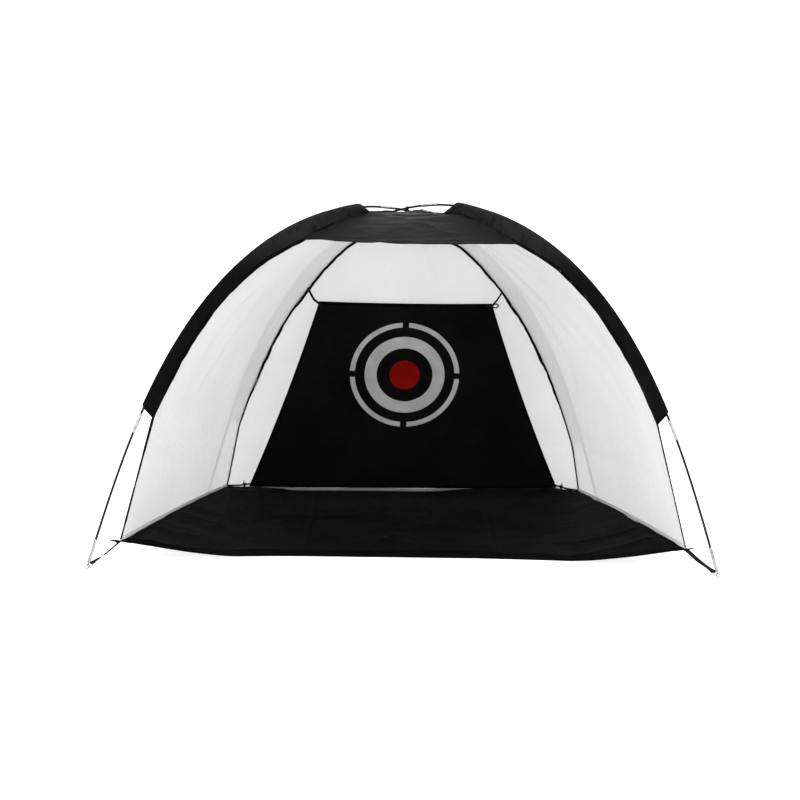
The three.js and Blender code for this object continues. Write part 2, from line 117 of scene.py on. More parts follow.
def noise(x, y, seed):
    """Smooth noise from -1 to 1, about one bump to each unit of x and y."""
    x, y = np.asarray(x, float) + 17.31 * seed, np.asarray(y, float) + 5.77 * seed
    i, j = np.floor(x).astype(int), np.floor(y).astype(int)
    a, b = smooth(x - i), smooth(y - j)
    g = lambda p, q: LATTICE[p % 256, q % 256]
    row = lambda k: g(i, k) * (1 - a) + g(i + 1, k) * a
    return row(j) * (1 - b) + row(j + 1) * b


def fbm(x, y, seed):
    """Noise at three sizes, each half the one before."""
    sizes = (1.0, 0.5, 0.25)
    return sum(noise(x / size, y / size, seed + 3 * k) * size for k, size in enumerate(sizes)) / sum(sizes)


def ridges(x, y, seed):
    """Narrow raised lines, as of creased cloth, from 0 to 1."""
    return (1 - np.abs(noise(x, y, seed))) ** 4


# ---------------- bent rods


class Rod:
    """An elastic rod pushed into a bow between two ends, as the CAD solves it."""

    def __init__(self, start, end, slope_at_end):
        swing = math.sin(slope_at_end / 2)
        mean, geometric = 1.0, math.sqrt(1 - swing * swing)
        for _ in range(6):
            mean, geometric = (mean + geometric) / 2, math.sqrt(mean * geometric)
        half_length, steps = math.pi / (2 * mean), 400
        h = half_length / steps
        slope, rate, x, drop = 0.0, 2 * swing, 0.0, 0.0
        half = [(0.0, 0.0)]
        for _ in range(steps):
            before = slope
            rate -= math.sin(slope) * h / 2
            slope += rate * h
            rate -= math.sin(slope) * h / 2
            x += math.cos((before + slope) / 2) * h
            drop += math.sin((before + slope) / 2) * h
            half.append((x, drop))
        reach = end - start
        scale = np.linalg.norm(reach) / (2 * x)
        along, middle = unit(reach), (start + end) / 2
        place = lambda sign, p: middle + along * sign * p[0] * scale + UP * (drop - p[1]) * scale
        self.points = np.array([place(-1, p) for p in half[:0:-1]] + [place(1, p) for p in half])
        self.length = 2 * half_length * scale
        self.lengths = np.linspace(0, self.length, len(self.points))
        self.normal = np.cross(along, UP)

    def at(self, s):
        return np.stack([np.interp(s, self.lengths, self.points[:, k]) for k in range(3)], -1)

    def frame(self, s):
        """Place, direction and the direction towards the inside of the bow, at arc lengths s."""
        s = np.asarray(s, float)
        tangent = unit(self.at(np.minimum(s + 0.005, self.length)) - self.at(np.maximum(s - 0.005, 0)))
        return self.at(s), tangent, np.cross(tangent, self.normal)


def foot(side, front):
    span, y = (FRONT_SPAN, -DEPTH / 2) if front else (REAR_SPAN, DEPTH / 2)
    return vec(side * span / 2, y, FOOT_HEIGHT)


rods = {
    "left": Rod(foot(-1, True), foot(1, False), END_SLOPE - SLOPE_DIFFERENCE / 2),
    "right": Rod(foot(1, True), foot(-1, False), END_SLOPE + SLOPE_DIFFERENCE / 2),
}


def eased(pairs, at):
    at = np.asarray(at, float)
    out = np.full(at.shape, pairs[0][1])
    for (a, low), (b, high) in zip(pairs, pairs[1:]):
        out = np.where(at > a, low + (high - low) * smooth(at, a, b), out)
    return out


class Leg:
    """One end of a rod, measured from its foot up, with its seam and the floor's corner."""

    def __init__(self, name, side, front, sleeve, corner):
        self.name, self.side, self.front, self.sleeve = name, side, front, sleeve
        self.hand = name.split("_")[1]
        self.rod = rods["left" if (side < 0) == front else "right"]
        self.seam = FRONT_SEAM if front else REAR_SEAM
        ground = foot(side, front) * vec(1, 1, 0)
        self.heading = unit(foot(-side, not front) * vec(1, 1, 0) - ground)
        self.normal = np.cross(self.heading, UP)
        self.corner = ground + self.heading * corner[0] + UP * corner[1]
        self.seam_top = self.seam[-1][0] - SEAM_BELOW_TOP
        self.seam_low = sleeve[0] - SEAM_BELOW_SLEEVE

    def frame(self, d):
        d = np.asarray(d, float)
        point, tangent, inward = self.rod.frame(d if self.front else self.rod.length - d)
        return point, tangent if self.front else -tangent, inward

    def seam_at(self, d):
        point, _, inward = self.frame(d)
        offset = eased(self.seam, d)
        if self.front:
            offset = offset + self.side * SEAM_DRAWN_UP * smooth(d, 1.6, 1.7) * smooth(-d, -1.83, -1.76)
        return point + inward * offset[..., None]

    def seam_point(self, t):
        """Down the seam: 0 at its top, 1 at the floor's corner."""
        t = np.asarray(t, float)
        low = self.seam_at(self.seam_low)
        straight = np.linalg.norm(self.corner - low)
        on_rod = self.seam_top - self.seam_low
        travelled = t * (on_rod + straight)
        upper = self.seam_at(np.maximum(self.seam_top - travelled, self.seam_low))
        share = np.clip((travelled - on_rod) / straight, 0, 1)[..., None]
        return np.where(share > 0, low + (self.corner - low) * share, upper)


legs = {l[0]: Leg(*l) for l in LEGS}

# ---------------- mesh code


class Soup:
    """Vertices and faces of one piece, gathered from closed shells."""

    def __init__(self):
        self.points, self.faces, self.uvs, self.count = [], [], [], 0

    def add(self, points, faces, uv=None):
        points = np.asarray(points, float).reshape(-1, 3)
        self.points.append(points)
        self.faces += [tuple(self.count + k for k in f) for f in faces]
        uv = np.zeros((len(points), 2)) if uv is None else uv
        self.uvs.append(np.asarray(uv, float).reshape(-1, 2))
        self.count += len(points)
        return self

    def build(self, name, material, slot, body="tent"):
        mesh = bpy.data.meshes.new(name)
        mesh.from_pydata(np.concatenate(self.points).tolist(), [], self.faces)
        uv = np.concatenate(self.uvs)
        layer = mesh.uv_layers.new(name="cloth")
        index = np.zeros(len(mesh.loops), int)
        mesh.loops.foreach_get("vertex_index", index)
        layer.data.foreach_set("uv", uv[index].astype(np.float32).ravel())
        mesh.polygons.foreach_set("use_smooth", [True] * len(mesh.polygons))
        mesh.update()
        piece = bpy.data.objects.new(name, mesh)
        bpy.context.scene.collection.objects.link(piece)
        piece.data.materials.append(material)
        if body:
            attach(piece, body)
        return piece


def lengths_along(path):
    return np.concatenate([[0], np.cumsum(np.linalg.norm(np.diff(path, axis=0), axis=1))])


def wrapped_uv(lengths, sides, radius):
    """Metres along and around a tube."""
    around = np.linspace(0, 1, sides, endpoint=False)
    return np.stack(np.meshgrid(lengths, around * 2 * math.pi * radius, indexing="ij"), -1)


def loft(soup, rings, looped=False, uv=None):
    """A closed shell through rings with equal numbers of points."""
    rings = np.asarray(rings, float)
    n, m = rings.shape[:2]
    faces = []
    for i in range(n if looped else n - 1):
        k = (i + 1) % n
        for j in range(m):
            q = (j + 1) % m
            faces.append((i * m + j, k * m + j, k * m + q, i * m + q))
    if not looped:
        faces += [tuple(range(m)), tuple(reversed(range((n - 1) * m, n * m)))]
    # Faces out: the shell's volume has to be positive.
    flat = rings.reshape(-1, 3) - rings.reshape(-1, 3).mean(0)
    volume = sum(np.dot(flat[f[0]], np.cross(flat[f[a]], flat[f[a + 1]]))
                 for f in faces for a in range(1, len(f) - 1))
    if volume < 0:
        faces = [tuple(reversed(f)) for f in faces]
    return soup.add(rings, faces, uv)


def ring(centre, first, second, radii, sides):
    angles = 2 * math.pi * np.arange(sides) / sides
    a, b = radii if hasattr(radii, "__len__") else (radii, radii)
    return centre + np.outer(np.cos(angles) * a, first) + np.outer(np.sin(angles) * b, second)


def frames_along(path, across=None, looped=False):
    """Two directions square to a path at each of its points, carried along it without twisting."""
    path = np.asarray(path, float)
    if looped:
        tangent = unit(np.roll(path, -1, 0) - np.roll(path, 1, 0))
    else:
        tangent = unit(np.gradient(path, axis=0))
    first = np.zeros_like(path)
    if across is not None:
        first[:] = unit(np.cross(tangent, across))
    else:
        guess = UP if abs(tangent[0] @ UP) < 0.9 else vec(1, 0, 0)
        first[0] = unit(np.cross(tangent[0], guess))
        for i in range(1, len(path)):
            first[i] = unit(first[i - 1] - tangent[i] * (tangent[i] @ first[i - 1]))
    return tangent, first, np.cross(tangent, first)


def tube(soup, path, radii, sides=10, across=None, looped=False):
    """A round or flattened bar along a path. radii is a number, a list, or pairs."""
    path = np.asarray(path, float)
    _, first, second = frames_along(path, across, looped)
    if not hasattr(radii, "__len__"):
        radii = [radii] * len(path)
    uv = wrapped_uv(lengths_along(path), sides, np.mean([np.mean(r) for r in radii]))
    rings = [ring(p, a, b, r, sides) for p, a, b, r in zip(path, first, second, radii)]
    return loft(soup, rings, looped, uv)


def hollow(soup, path, outer, inner, across, sides=16):
    """A tube with a wall, open at both ends. outer has one radius for each point."""
    path = np.asarray(path, float)
    _, first, second = frames_along(path, across)
    out = [ring(p, a, b, r, sides) for p, a, b, r in zip(path, first, second, outer)]
    into = [ring(p, a, b, inner, sides) for p, a, b in zip(path, first, second)]
    lengths = lengths_along(path)
    uv = wrapped_uv(np.concatenate([lengths, lengths[::-1]]), sides, outer[len(outer) // 2])
    return loft(soup, out + into[::-1], True, uv)


def quads(index):
    """The faces of a grid of vertex numbers."""
    corners = index[:-1, :-1], index[:-1, 1:], index[1:, 1:], index[1:, :-1]
    return list(zip(*[c.ravel().tolist() for c in corners]))


def cloth_sheet(soup, grid, thickness, uv=None):
    """A thin closed sheet of the given thickness about a grid of points."""
    grid = np.asarray(grid, float)
    n, m = grid.shape[:2]
    normal = unit(np.cross(np.gradient(grid, axis=1), np.gradient(grid, axis=0)))
    top, under = grid + normal * thickness / 2, grid - normal * thickness / 2
    index = np.arange(n * m).reshape(n, m)
    faces = quads(index)
    faces += [(n * m + w, n * m + z, n * m + y, n * m + x) for x, y, z, w in faces[:]]
    rim = np.concatenate([index[0], index[1:, -1], index[-1, -2::-1], index[-2:0:-1, 0]]).tolist()
    faces += [(q, p, p + n * m, q + n * m) for p, q in zip(rim, rim[1:] + rim[:1])]
    if uv is None:
        width = np.linalg.norm(grid[:, -1] - grid[:, 0], axis=-1)
        down = lengths_along(grid[:, m // 2])
        uv = np.stack([np.outer(width, np.linspace(-0.5, 0.5, m)), np.repeat(down[:, None], m, 1)], -1)
    uv = np.asarray(uv, float).reshape(-1, 2)
    return soup.add(np.stack([top, under]), faces, np.stack([uv, uv]))


def resample(path, step):
    """Points at equal steps along a path."""
    path = np.asarray(path, float)
    lengths = lengths_along(path)
    s = np.linspace(0, lengths[-1], max(2, int(round(lengths[-1] / step)) + 1))
    return np.stack([np.interp(s, lengths, path[:, k]) for k in range(3)], -1)


def curve(points, count=24):
    """A smooth path through a few points (Catmull-Rom)."""
    p = np.asarray(points, float)
    p = np.concatenate([[2 * p[0] - p[1]], p, [2 * p[-1] - p[-2]]])
    out = []
    for i in range(1, len(p) - 2):
        for t in np.linspace(0, 1, count, endpoint=False):
            out.append(0.5 * (2 * p[i] + (p[i + 1] - p[i - 1]) * t
                              + (2 * p[i - 1] - 5 * p[i] + 4 * p[i + 1] - p[i + 2]) * t ** 2
                              + (3 * p[i] - p[i - 1] - 3 * p[i + 1] + p[i + 2]) * t ** 3))
    return np.array(out + [p[-2]])


def stitch_row(soup, path, pitch=STITCH_PITCH, share=STITCH_SHARE, radius=STITCH_RADIUS):
    """Short thread stitches end to end along a path."""
    fine = resample(path, pitch)
    for a, b in zip(fine, fine[1:]):
        middle, reach = (a + b) / 2, (b - a) * share / 2
        points = [middle - reach, middle - reach * 0.7, middle + reach * 0.7, middle + reach]
        tube(soup, points, [radius * 0.3, radius, radius, radius * 0.3], 5)


# ---------------- materials


def grey(value, blue=None):
    return (value, value, value if blue is None else blue)


class Shader:
    """A material's nodes, with short names for the ones used here."""

    def __init__(self, name):
        self.material = bpy.data.materials.new(name)
        self.material.use_nodes = True
        self.tree = self.material.node_tree
        self.tree.nodes.clear()

    def node(self, kind, inputs=None, **settings):
        made = self.tree.nodes.new(kind)
        for key, value in settings.items():
            setattr(made, key, value)
        for key, value in (inputs or {}).items():
            self.put(made.inputs[key], value)
        return made

    def put(self, socket, value):
        if isinstance(value, bpy.types.NodeSocket):
            self.tree.links.new(value, socket)
        elif hasattr(value, "__len__") and len(value) == 3 and len(socket.default_value) == 4:
            socket.default_value = (*value, 1)
        else:
            socket.default_value = value

    def math(self, operation, *values):
        made = self.node("ShaderNodeMath", operation=operation)
        for k, value in enumerate(values):
            self.put(made.inputs[k], value)
        return made.outputs[0]

    def times(self, a, b):
        return self.math("MULTIPLY", a, b)

    def plus(self, a, b):
        return self.math("ADD", a, b)

    def minus(self, a, b):
        return self.math("SUBTRACT", a, b)

    def spread(self, value, low, high, to_low=0.0, to_high=1.0):
        """A value between low and high mapped smoothly to another range."""
        inputs = {"Value": value, "From Min": low, "From Max": high, "To Min": to_low, "To Max": to_high}
        return self.node("ShaderNodeMapRange", inputs, interpolation_type="SMOOTHSTEP").outputs[0]

    def place(self):
        return self.node("ShaderNodeTexCoord").outputs["Object"]

    def cloth_place(self):
        """Metres across and along the cloth."""
        uv = self.node("ShaderNodeUVMap", uv_map="cloth").outputs[0]
        parts = self.node("ShaderNodeSeparateXYZ", {"Vector": uv})
        return uv, parts.outputs[0], parts.outputs[1]

    def noise(self, where, scale, detail=3.0, roughness=0.55):
        inputs = {"Vector": where, "Scale": scale, "Detail": detail, "Roughness": roughness}
        return self.node("ShaderNodeTexNoise", inputs).outputs[0]

    def blotches(self, where, scale, detail, dark, light):
        return self.mix(self.spread(self.noise(where, scale, detail), 0.3, 0.7), dark, light)

    def stretched(self, where, scale, turn=0.0):
        inputs = {"Vector": where, "Scale": scale, "Rotation": (0, 0, turn)}
        return self.node("ShaderNodeMapping", inputs).outputs[0]

    def folds(self, where, scale, detail, roughness, strength):
        """Soft creases of a cloth, some centimetres apart."""
        creases = self.noise(self.stretched(where, scale), 1.0, detail, roughness)
        return self.bump(creases, strength, 0.012)

    def mix(self, factor, a, b):
        made = self.node("ShaderNodeMix", data_type="RGBA")
        for socket, value in zip([made.inputs[0], made.inputs[6], made.inputs[7]], [factor, a, b]):
            self.put(socket, value)
        return made.outputs[2]

    def bump(self, height, strength, distance, normal=None):
        inputs = {"Height": height, "Strength": strength, "Distance": distance}
        if normal is not None:
            inputs["Normal"] = normal
        return self.node("ShaderNodeBump", inputs).outputs[0]

    def wave(self, value, pitch):
        """From 0 to 1 and back once in each pitch."""
        angle = self.times(value, 2 * math.pi / pitch)
        return self.math("MULTIPLY_ADD", self.math("SINE", angle), 0.5, 0.5)

    def principled(self, **inputs):
        names = {key.replace("_", " "): value for key, value in inputs.items()}
        return self.node("ShaderNodeBsdfPrincipled", names).outputs[0]

    def cloth(self, tone, roughness, specular, sheen, normal, **more):
        return self.principled(Base_Color=tone, Roughness=roughness, Specular_IOR_Level=specular,
                               Sheen_Weight=sheen, Normal=normal, **more)

    def done(self, surface):
        self.node("ShaderNodeOutputMaterial", {"Surface": surface})
        return self.material


PAINTED_LIGHT_HEIGHTS = (0.90, 1.07)  # the heights between which the cloth's colour is painted paler, as painted light from above
NET_THROUGH, NET_THREAD_ALPHA = 0.6, 0.92  # share of light that shines through a thread, and its cover


def weave_of(shader, across, along, pitch):
    """A plain weave's height: threads over and under each other in turn."""
    first, second = shader.wave(across, pitch), shader.wave(along, pitch)
    over = shader.times(first, shader.minus(1.0, second))
    under = shader.times(second, shader.minus(1.0, first))
    return shader.plus(over, under)


def cloth_material(name, dark, light, roughness, specular, sheen, pitch=0.0011, crease=0.35, dust=0.0,
                   painted_top_light=None):
    """Woven cloth. If asked, the colour is painted paler towards the top as painted light, where more light
    falls from above, with streaks of painted shade like creases there.
    """
    s = Shader(name)
    uv, across, along = s.cloth_place()
    where = s.place()
    patches = s.noise(where, 5.0, 4.0, 0.6)
    mottle = s.noise(where, 260.0, 2.0, 0.5)
    weave = weave_of(s, across, along, pitch)
    tone = s.mix(s.spread(patches, 0.3, 0.72), dark, light)
    tone = s.mix(s.times(s.spread(weave, 0.1, 0.75), 0.35), tone, [1.9 * c for c in light])
    if dust:
        specks = s.times(s.spread(s.noise(where, 34.0, 5.0, 0.7), 0.56, 0.8), dust)
        tone = s.mix(specks, tone, (0.16, 0.155, 0.145))
    # Painted light: the colour grows paler with height, where more light falls from above, and the specular
    # level rises with height too.
    if painted_top_light:
        height = s.node("ShaderNodeSeparateXYZ", {"Vector": where}).outputs[2]
        painted_light_mask = s.times(s.spread(height, *PAINTED_LIGHT_HEIGHTS), s.spread(patches, 0.15, 0.6, 0.7, 1.0))
        tone = s.mix(painted_light_mask, tone, painted_top_light)
        # Painted shade: dark streaks like creases across the paler top.
        painted_crease_shade = s.spread(s.noise(s.stretched(uv, (22.0, 30.0, 1.0), 0.6), 1.0, 2.0, 0.5), 0.54, 0.66)
        tone = s.mix(s.times(s.times(painted_crease_shade, painted_light_mask), 0.6), tone, dark)
        specular = s.spread(height, *PAINTED_LIGHT_HEIGHTS, specular, 3 * specular)
    rough = s.spread(mottle, 0.2, 0.8, roughness - 0.06, min(1.0, roughness + 0.06))
    normal = s.bump(weave, 0.45, pitch * 0.35, s.folds(where, (9, 13, 11), 5.0, 0.6, crease))
    return s.done(s.cloth(tone, rough, specular, sheen, normal, Sheen_Roughness=0.45))


def net_material(name, dark, light, cover, hole_alpha, pitch=0.0032):
    """Fine knitted netting: threads with small diamond holes between them."""
    s = Shader(name)
    _, across, along = s.cloth_place()
    where = s.place()
    diagonal = s.plus(across, along)
    other = s.minus(across, along)
    threads = s.math("MAXIMUM", s.wave(diagonal, pitch), s.wave(other, pitch))
    solid = s.spread(threads, cover - 0.12, cover + 0.12)
    tone = s.blotches(where, 3.5, 3.0, dark, light)
    tone = s.mix(s.times(s.spread(s.noise(where, 180.0, 2.0), 0.35, 0.75), 0.25), tone, dark)
    normal = s.bump(threads, 0.5, 0.0006, s.folds(where, (7, 10, 6), 4.0, 0.55, 0.22))
    body = s.cloth(tone, 0.82, 0.2, 0.15, normal)
    lit = s.node("ShaderNodeBsdfTranslucent", {"Color": tone, "Normal": normal}).outputs[0]
    yarn = s.node("ShaderNodeMixShader", {0: NET_THROUGH, 1: body, 2: lit}).outputs[0]
    clear = s.node("ShaderNodeBsdfTransparent").outputs[0]
    alpha = s.spread(solid, 0.0, 1.0, hole_alpha, NET_THREAD_ALPHA)
    return s.done(s.node("ShaderNodeMixShader", {0: alpha, 1: clear, 2: yarn}).outputs[0])


def webbing_material(name, dark, light, pitch=0.0022):
    s = Shader(name)
    _, across, along = s.cloth_place()
    ribs = s.wave(along, pitch)
    twill = s.wave(s.plus(across, along), pitch * 0.5)
    height = s.plus(s.times(ribs, 0.6), s.times(twill, 0.4))
    tone = s.mix(s.spread(height, 0.2, 0.9), dark, light)
    dusty = s.times(s.spread(s.noise(s.place(), 40.0, 4.0), 0.55, 0.85), 0.12)
    tone = s.mix(dusty, tone, (0.05, 0.049, 0.047))
    return s.done(s.cloth(tone, 0.72, 0.07, 0.01, s.bump(height, 0.6, 0.0005)))


def cord_material(name, dark, light, pitch=0.0016):
    """A braided cord: two sets of strands that cross."""
    s = Shader(name)
    _, along, around = s.cloth_place()
    strands = weave_of(s, s.plus(along, around), s.minus(along, around), pitch)
    tone = s.mix(s.spread(strands, 0.1, 0.7), dark, light)
    return s.done(s.cloth(tone, 0.7, 0.06, 0.01, s.bump(strands, 0.6, 0.0004)))


def steel_material(name, dark, light, roughness):
    s = Shader(name)
    drawn = s.noise(s.stretched(s.cloth_place()[0], (22.0, 1400.0, 1.0)), 1.0, 4.0, 0.6)
    stains = s.noise(s.place(), 60.0, 4.0, 0.6)
    tone = s.mix(s.spread(stains, 0.35, 0.75), light, dark)
    stained = s.spread(stains, 0.3, 0.8, roughness - 0.08, roughness + 0.1)
    rough = s.plus(s.times(drawn, 0.18), stained)
    normal = s.bump(drawn, 0.12, 0.0002)
    return s.done(s.principled(Base_Color=tone, Metallic=1.0, Roughness=rough, Normal=normal))


def rod_material(name):
    """Black wound fibreglass: a slight spiral from the winding, scuffs and dust."""
    s = Shader(name)
    uv, along, around = s.cloth_place()
    spiral = s.wave(s.math("MULTIPLY_ADD", around, 0.45, along), 0.0065)
    scuffs = s.spread(s.noise(s.stretched(uv, (35.0, 900.0, 1.0)), 1.0, 5.0, 0.7), 0.6, 0.78)
    tone = s.mix(s.times(spiral, 0.4), grey(0.009, 0.010), grey(0.020, 0.022))
    scuffed = s.times(scuffs, 0.3)
    tone = s.mix(scuffed, tone, grey(0.12))
    return s.done(s.principled(Base_Color=tone, Roughness=s.plus(0.3, scuffed),
                               Specular_IOR_Level=0.13, Normal=s.bump(spiral, 0.25, 0.0001)))


RED_RADIUS, INK_EDGE = 0.056, 0.0006
GREY_RING = (0.148, 0.1035)
BROKEN_RING, BROKEN_GAP = (0.2025, 0.1843), (0.0112, 0.0122)
RINGS_CENTRE, RINGS_TURN = (0.0, 0.2766), math.radians(0.7)


def printed_material(name):
    """The target's black cloth with its printed rings, centred across and down the cloth."""
    s = Shader(name)
    _, across, along = s.cloth_place()
    where = s.place()
    over, down = s.minus(across, RINGS_CENTRE[0]), s.minus(along, RINGS_CENTRE[1])
    cosine, sine = math.cos(RINGS_TURN), math.sin(RINGS_TURN)
    turned = lambda a, b, sine: s.plus(s.times(a, cosine), s.times(b, sine))
    x, y = turned(over, down, sine), turned(down, over, -sine)
    radius = s.math("SQRT", s.plus(s.times(x, x), s.times(y, y)))
    radius = s.plus(radius, s.math("MULTIPLY_ADD", s.noise(where, 900.0, 2.0), 0.0008, -0.0004))
    inside = lambda r: s.spread(radius, r - INK_EDGE, r + INK_EDGE, 1.0, 0.0)
    band = lambda outer, inner: s.times(inside(outer), s.minus(1.0, inside(inner)))
    gap = s.math("MINIMUM", s.math("ABSOLUTE", x), s.math("ABSOLUTE", y))
    broken = s.times(band(*BROKEN_RING), s.spread(gap, *BROKEN_GAP))
    rings = s.math("MAXIMUM", broken, band(*GREY_RING))
    weave = weave_of(s, across, along, 0.0011)
    patches = s.noise(where, 4.0, 4.0, 0.6)
    cloth = s.mix(s.spread(patches, 0.3, 0.7), grey(0.0016, 0.0018), grey(0.0042, 0.0046))
    cloth = s.mix(s.times(weave, 0.3), cloth, grey(0.009, 0.010))
    worn = s.times(s.spread(s.noise(where, 300.0, 4.0, 0.7), 0.62, 0.8), 0.35)
    ink = s.minus(1.0, worn)
    ring_ink = s.blotches(where, 12.0, 4.0, grey(0.34, 0.345), grey(0.44, 0.445))
    red_ink = s.blotches(where, 16.0, 4.0, (0.150, 0.0030, 0.0016), (0.195, 0.0040, 0.0020))
    tone = s.mix(s.times(rings, ink), cloth, ring_ink)
    tone = s.mix(s.times(inside(RED_RADIUS), ink), tone, red_ink)
    normal = s.bump(weave, 0.4, 0.0004, s.folds(where, (6, 9, 8), 4.0, 0.55, 0.3))
    return s.done(s.cloth(tone, 0.8, 0.02, 0.002, normal))


ROD = rod_material("black_fibreglass")
STEEL = steel_material("drawn_steel", (0.24, 0.245, 0.25), (0.50, 0.505, 0.51), 0.3)
WIRE = steel_material("plated_wire", grey(0.16), grey(0.36), 0.34)
# The sleeve cloth's paler top is painted light, with painted crease shade, not sun fading.
SLEEVE = cloth_material("sleeve_cloth", grey(0.0016, 0.0018), grey(0.0042, 0.0046), 0.75, 0.03, 0.004,
                        crease=0.5, painted_top_light=grey(0.015, 0.0155))
ROOF = cloth_material("roof_cloth", grey(0.006, 0.0064), grey(0.0115, 0.012), 0.6, 0.09, 0.012,
                      crease=0.7)
FLOOR = cloth_material("floor_cloth", grey(0.0016, 0.0018), grey(0.0054, 0.0058), 0.62, 0.009, 0.0,
                       crease=0.9, dust=0.015)
BINDING = cloth_material("binding_tape", grey(0.0012, 0.0014), grey(0.003), 0.75, 0.03, 0.0, 0.0009)
# Dark hem cloth, also used for the floor's front band of painted shade.
HEM_AND_SHADE = cloth_material("dark_hem_and_painted_shade", grey(0.0007, 0.0009), grey(0.0021, 0.0024), 0.75, 0.015, 0.0, 0.0009)
TAPE = cloth_material("pale_tape", grey(0.56), grey(0.64), 0.85, 0.2, 0.1, 0.0009, crease=0.15)
NET = net_material("netting", grey(0.69, 0.695), grey(0.73, 0.735), 0.6, 0.3)
# The rear net uses a lighter copy of the same netting: painted light that makes up for the shade it lies
# in.
NET_PAINTED_LIGHTER = net_material("rear_netting_painted_lighter", grey(0.73, 0.735), grey(0.77, 0.775), 0.6, 0.3)
NET_SLEEVE = net_material("sleeve_netting", grey(0.83, 0.835), grey(0.87, 0.875), 0.5, 0.35, 0.0024)
WEBBING = webbing_material("strap_webbing", grey(0.0014, 0.0016), grey(0.006, 0.0065))
CORD = cord_material("black_cord", grey(0.0012), grey(0.0045))
ELASTIC = cord_material("shock_cord", grey(0.38, 0.36), grey(0.72, 0.70), 0.0011)
SEAM_THREAD = cord_material("grey_thread", grey(0.10), grey(0.22), 0.0006)
THREAD = cord_material("dark_thread", grey(0.010, 0.011), grey(0.035, 0.037), 0.0006)
PRINT = printed_material("printed_target")
PALE_THREAD = cord_material("pale_thread", grey(0.55), grey(0.78), 0.0006)

# ---------------- camera, light and floor


def standing(location, right, above, forward):
    """The matrix of a camera or lamp that looks along forward."""
    matrix = np.eye(4)
    matrix[:3] = np.stack([right, above, -forward, location], 1)
    return Matrix(matrix.tolist())


def aim(location, yaw, pitch, roll):
    forward = vec(math.sin(yaw) * math.cos(pitch), math.cos(yaw) * math.cos(pitch), math.sin(pitch))
    right = vec(math.cos(yaw), -math.sin(yaw), 0)
    upward = np.cross(right, forward)
    across = math.cos(roll) * right + math.sin(roll) * upward
    above = -math.sin(roll) * right + math.cos(roll) * upward
    return standing(location, across, above, forward)


# The camera was fitted to the photo.
lens = bpy.data.cameras.new("camera")
lens.lens, lens.sensor_width = 93.58, 36
lens.clip_end = 400
camera = bpy.data.objects.new("camera", lens)
camera.matrix_world = aim((-0.0224, -7.201, 1.351), 0.0009, -0.1219, 0.0143)
bpy.context.scene.collection.objects.link(camera)
bpy.context.scene.camera = camera


def area_light(name, location, target, size, power):
    data = bpy.data.lights.new(name, "AREA")
    data.size, data.energy = size, power
    lamp = bpy.data.objects.new(name, data)
    forward = unit(vec(*target) - vec(*location))
    right = unit(np.cross(forward, UP))
    lamp.matrix_world = standing(location, right, np.cross(right, forward), forward)
    bpy.context.scene.collection.objects.link(lamp)


area_light("key", (-3.2, -4.2, 5.0), (0, 0, 0.4), 3.5, 150)
area_light("fill", (4.0, -3.0, 3.2), (0, 0, 0.5), 4.0, 60)
area_light("back", (0.5, 4.5, 4.5), (0, 0, 0.6), 4.0, 70)

world = bpy.data.worlds.new("studio")
world.use_nodes = True
sky = world.node_tree.nodes["Background"]
sky.inputs["Color"].default_value, sky.inputs["Strength"].default_value = (1, 1, 1, 1), 1.12
bpy.context.scene.world = world
bpy.context.scene.view_settings.view_transform = "Standard"


def studio_floor():
    """A pale floor that gives off light of its own, so that it keeps hardly any shadow."""
    s = Shader("studio_floor")
    tone = s.mix(s.noise(s.place(), 1.2, 3.0), grey(0.60), grey(0.62))
    material = s.done(s.principled(Base_Color=tone, Roughness=0.9, Specular_IOR_Level=0.1,
                                   Emission_Color=(1, 1, 1), Emission_Strength=0.85))
    half, cells, below = 90.0, 8, 0.0006
    axis = np.linspace(-half, half, cells + 1)
    points = [(x, y, -below) for y in axis for x in axis]
    index = np.arange((cells + 1) ** 2).reshape(cells + 1, -1)
    mesh = bpy.data.meshes.new("studio_floor")
    mesh.from_pydata(points, [], quads(index))
    mesh.materials.append(material)
    plane = bpy.data.objects.new("studio_floor", mesh)
    bpy.context.scene.collection.objects.link(plane)


studio_floor()

# ---------------- rods and feet


# A ferrule's place along the rod and how far its outside is drawn in: chamfers, a groove and a crimp.
FERRULE_PROFILE = [
    (0, 0.00045), (0.0008, 0), (0.006, 0), (0.0075, 0.00028), (0.009, 0.00028), (0.0105, 0), (0.03, 0),
    (0.045, 0), (0.0555, 0), (0.057, 0.00022), (0.0585, 0), (0.0652, 0), (0.066, 0.00045),
]


def rod_pieces(side, rod):
    joints = FIRST_JOINT + JOINT_PITCH * np.arange(SECTIONS - 1)
    ends = [TIP_PLUG + BUTT_GAP, *joints, rod.length - TIP_PLUG - BUTT_GAP]
    for i in range(SECTIONS):
        start, end = ends[i] + (BUTT_GAP if i else 0), ends[i + 1]
        s = np.linspace(start, end, 34)
        outer = np.full(len(s), ROD_RADIUS)
        outer[[0, -1]] -= 0.0004
        soup = hollow(Soup(), rod.at(s), outer, ROD_BORE, rod.normal, 16)
        piece = soup.build(f"{side}_rod_tube_{i + 1}", ROD, "rod_fibreglass")
        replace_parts(piece, f"{side}_rod_section_{i + 1}")
    for i, joint in enumerate(joints):
        offsets, depths = np.array(FERRULE_PROFILE).T
        s = joint - FERRULE_BELOW + offsets
        outer = FERRULE_OUTSIDE - depths
        soup = hollow(Soup(), rod.at(s), outer, FERRULE_INSIDE - 0.0001, rod.normal, 20)
        piece = soup.build(f"{side}_ferrule_{i + 1}", STEEL, "steel")
        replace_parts(piece, f"{side}_rod_ferrule_{i + 1}")
    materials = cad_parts[f"{side}_rod_shock_cord"].data.materials
    materials.clear()
    materials.append(ELASTIC)


for side, rod in rods.items():
    rod_pieces(side, rod)


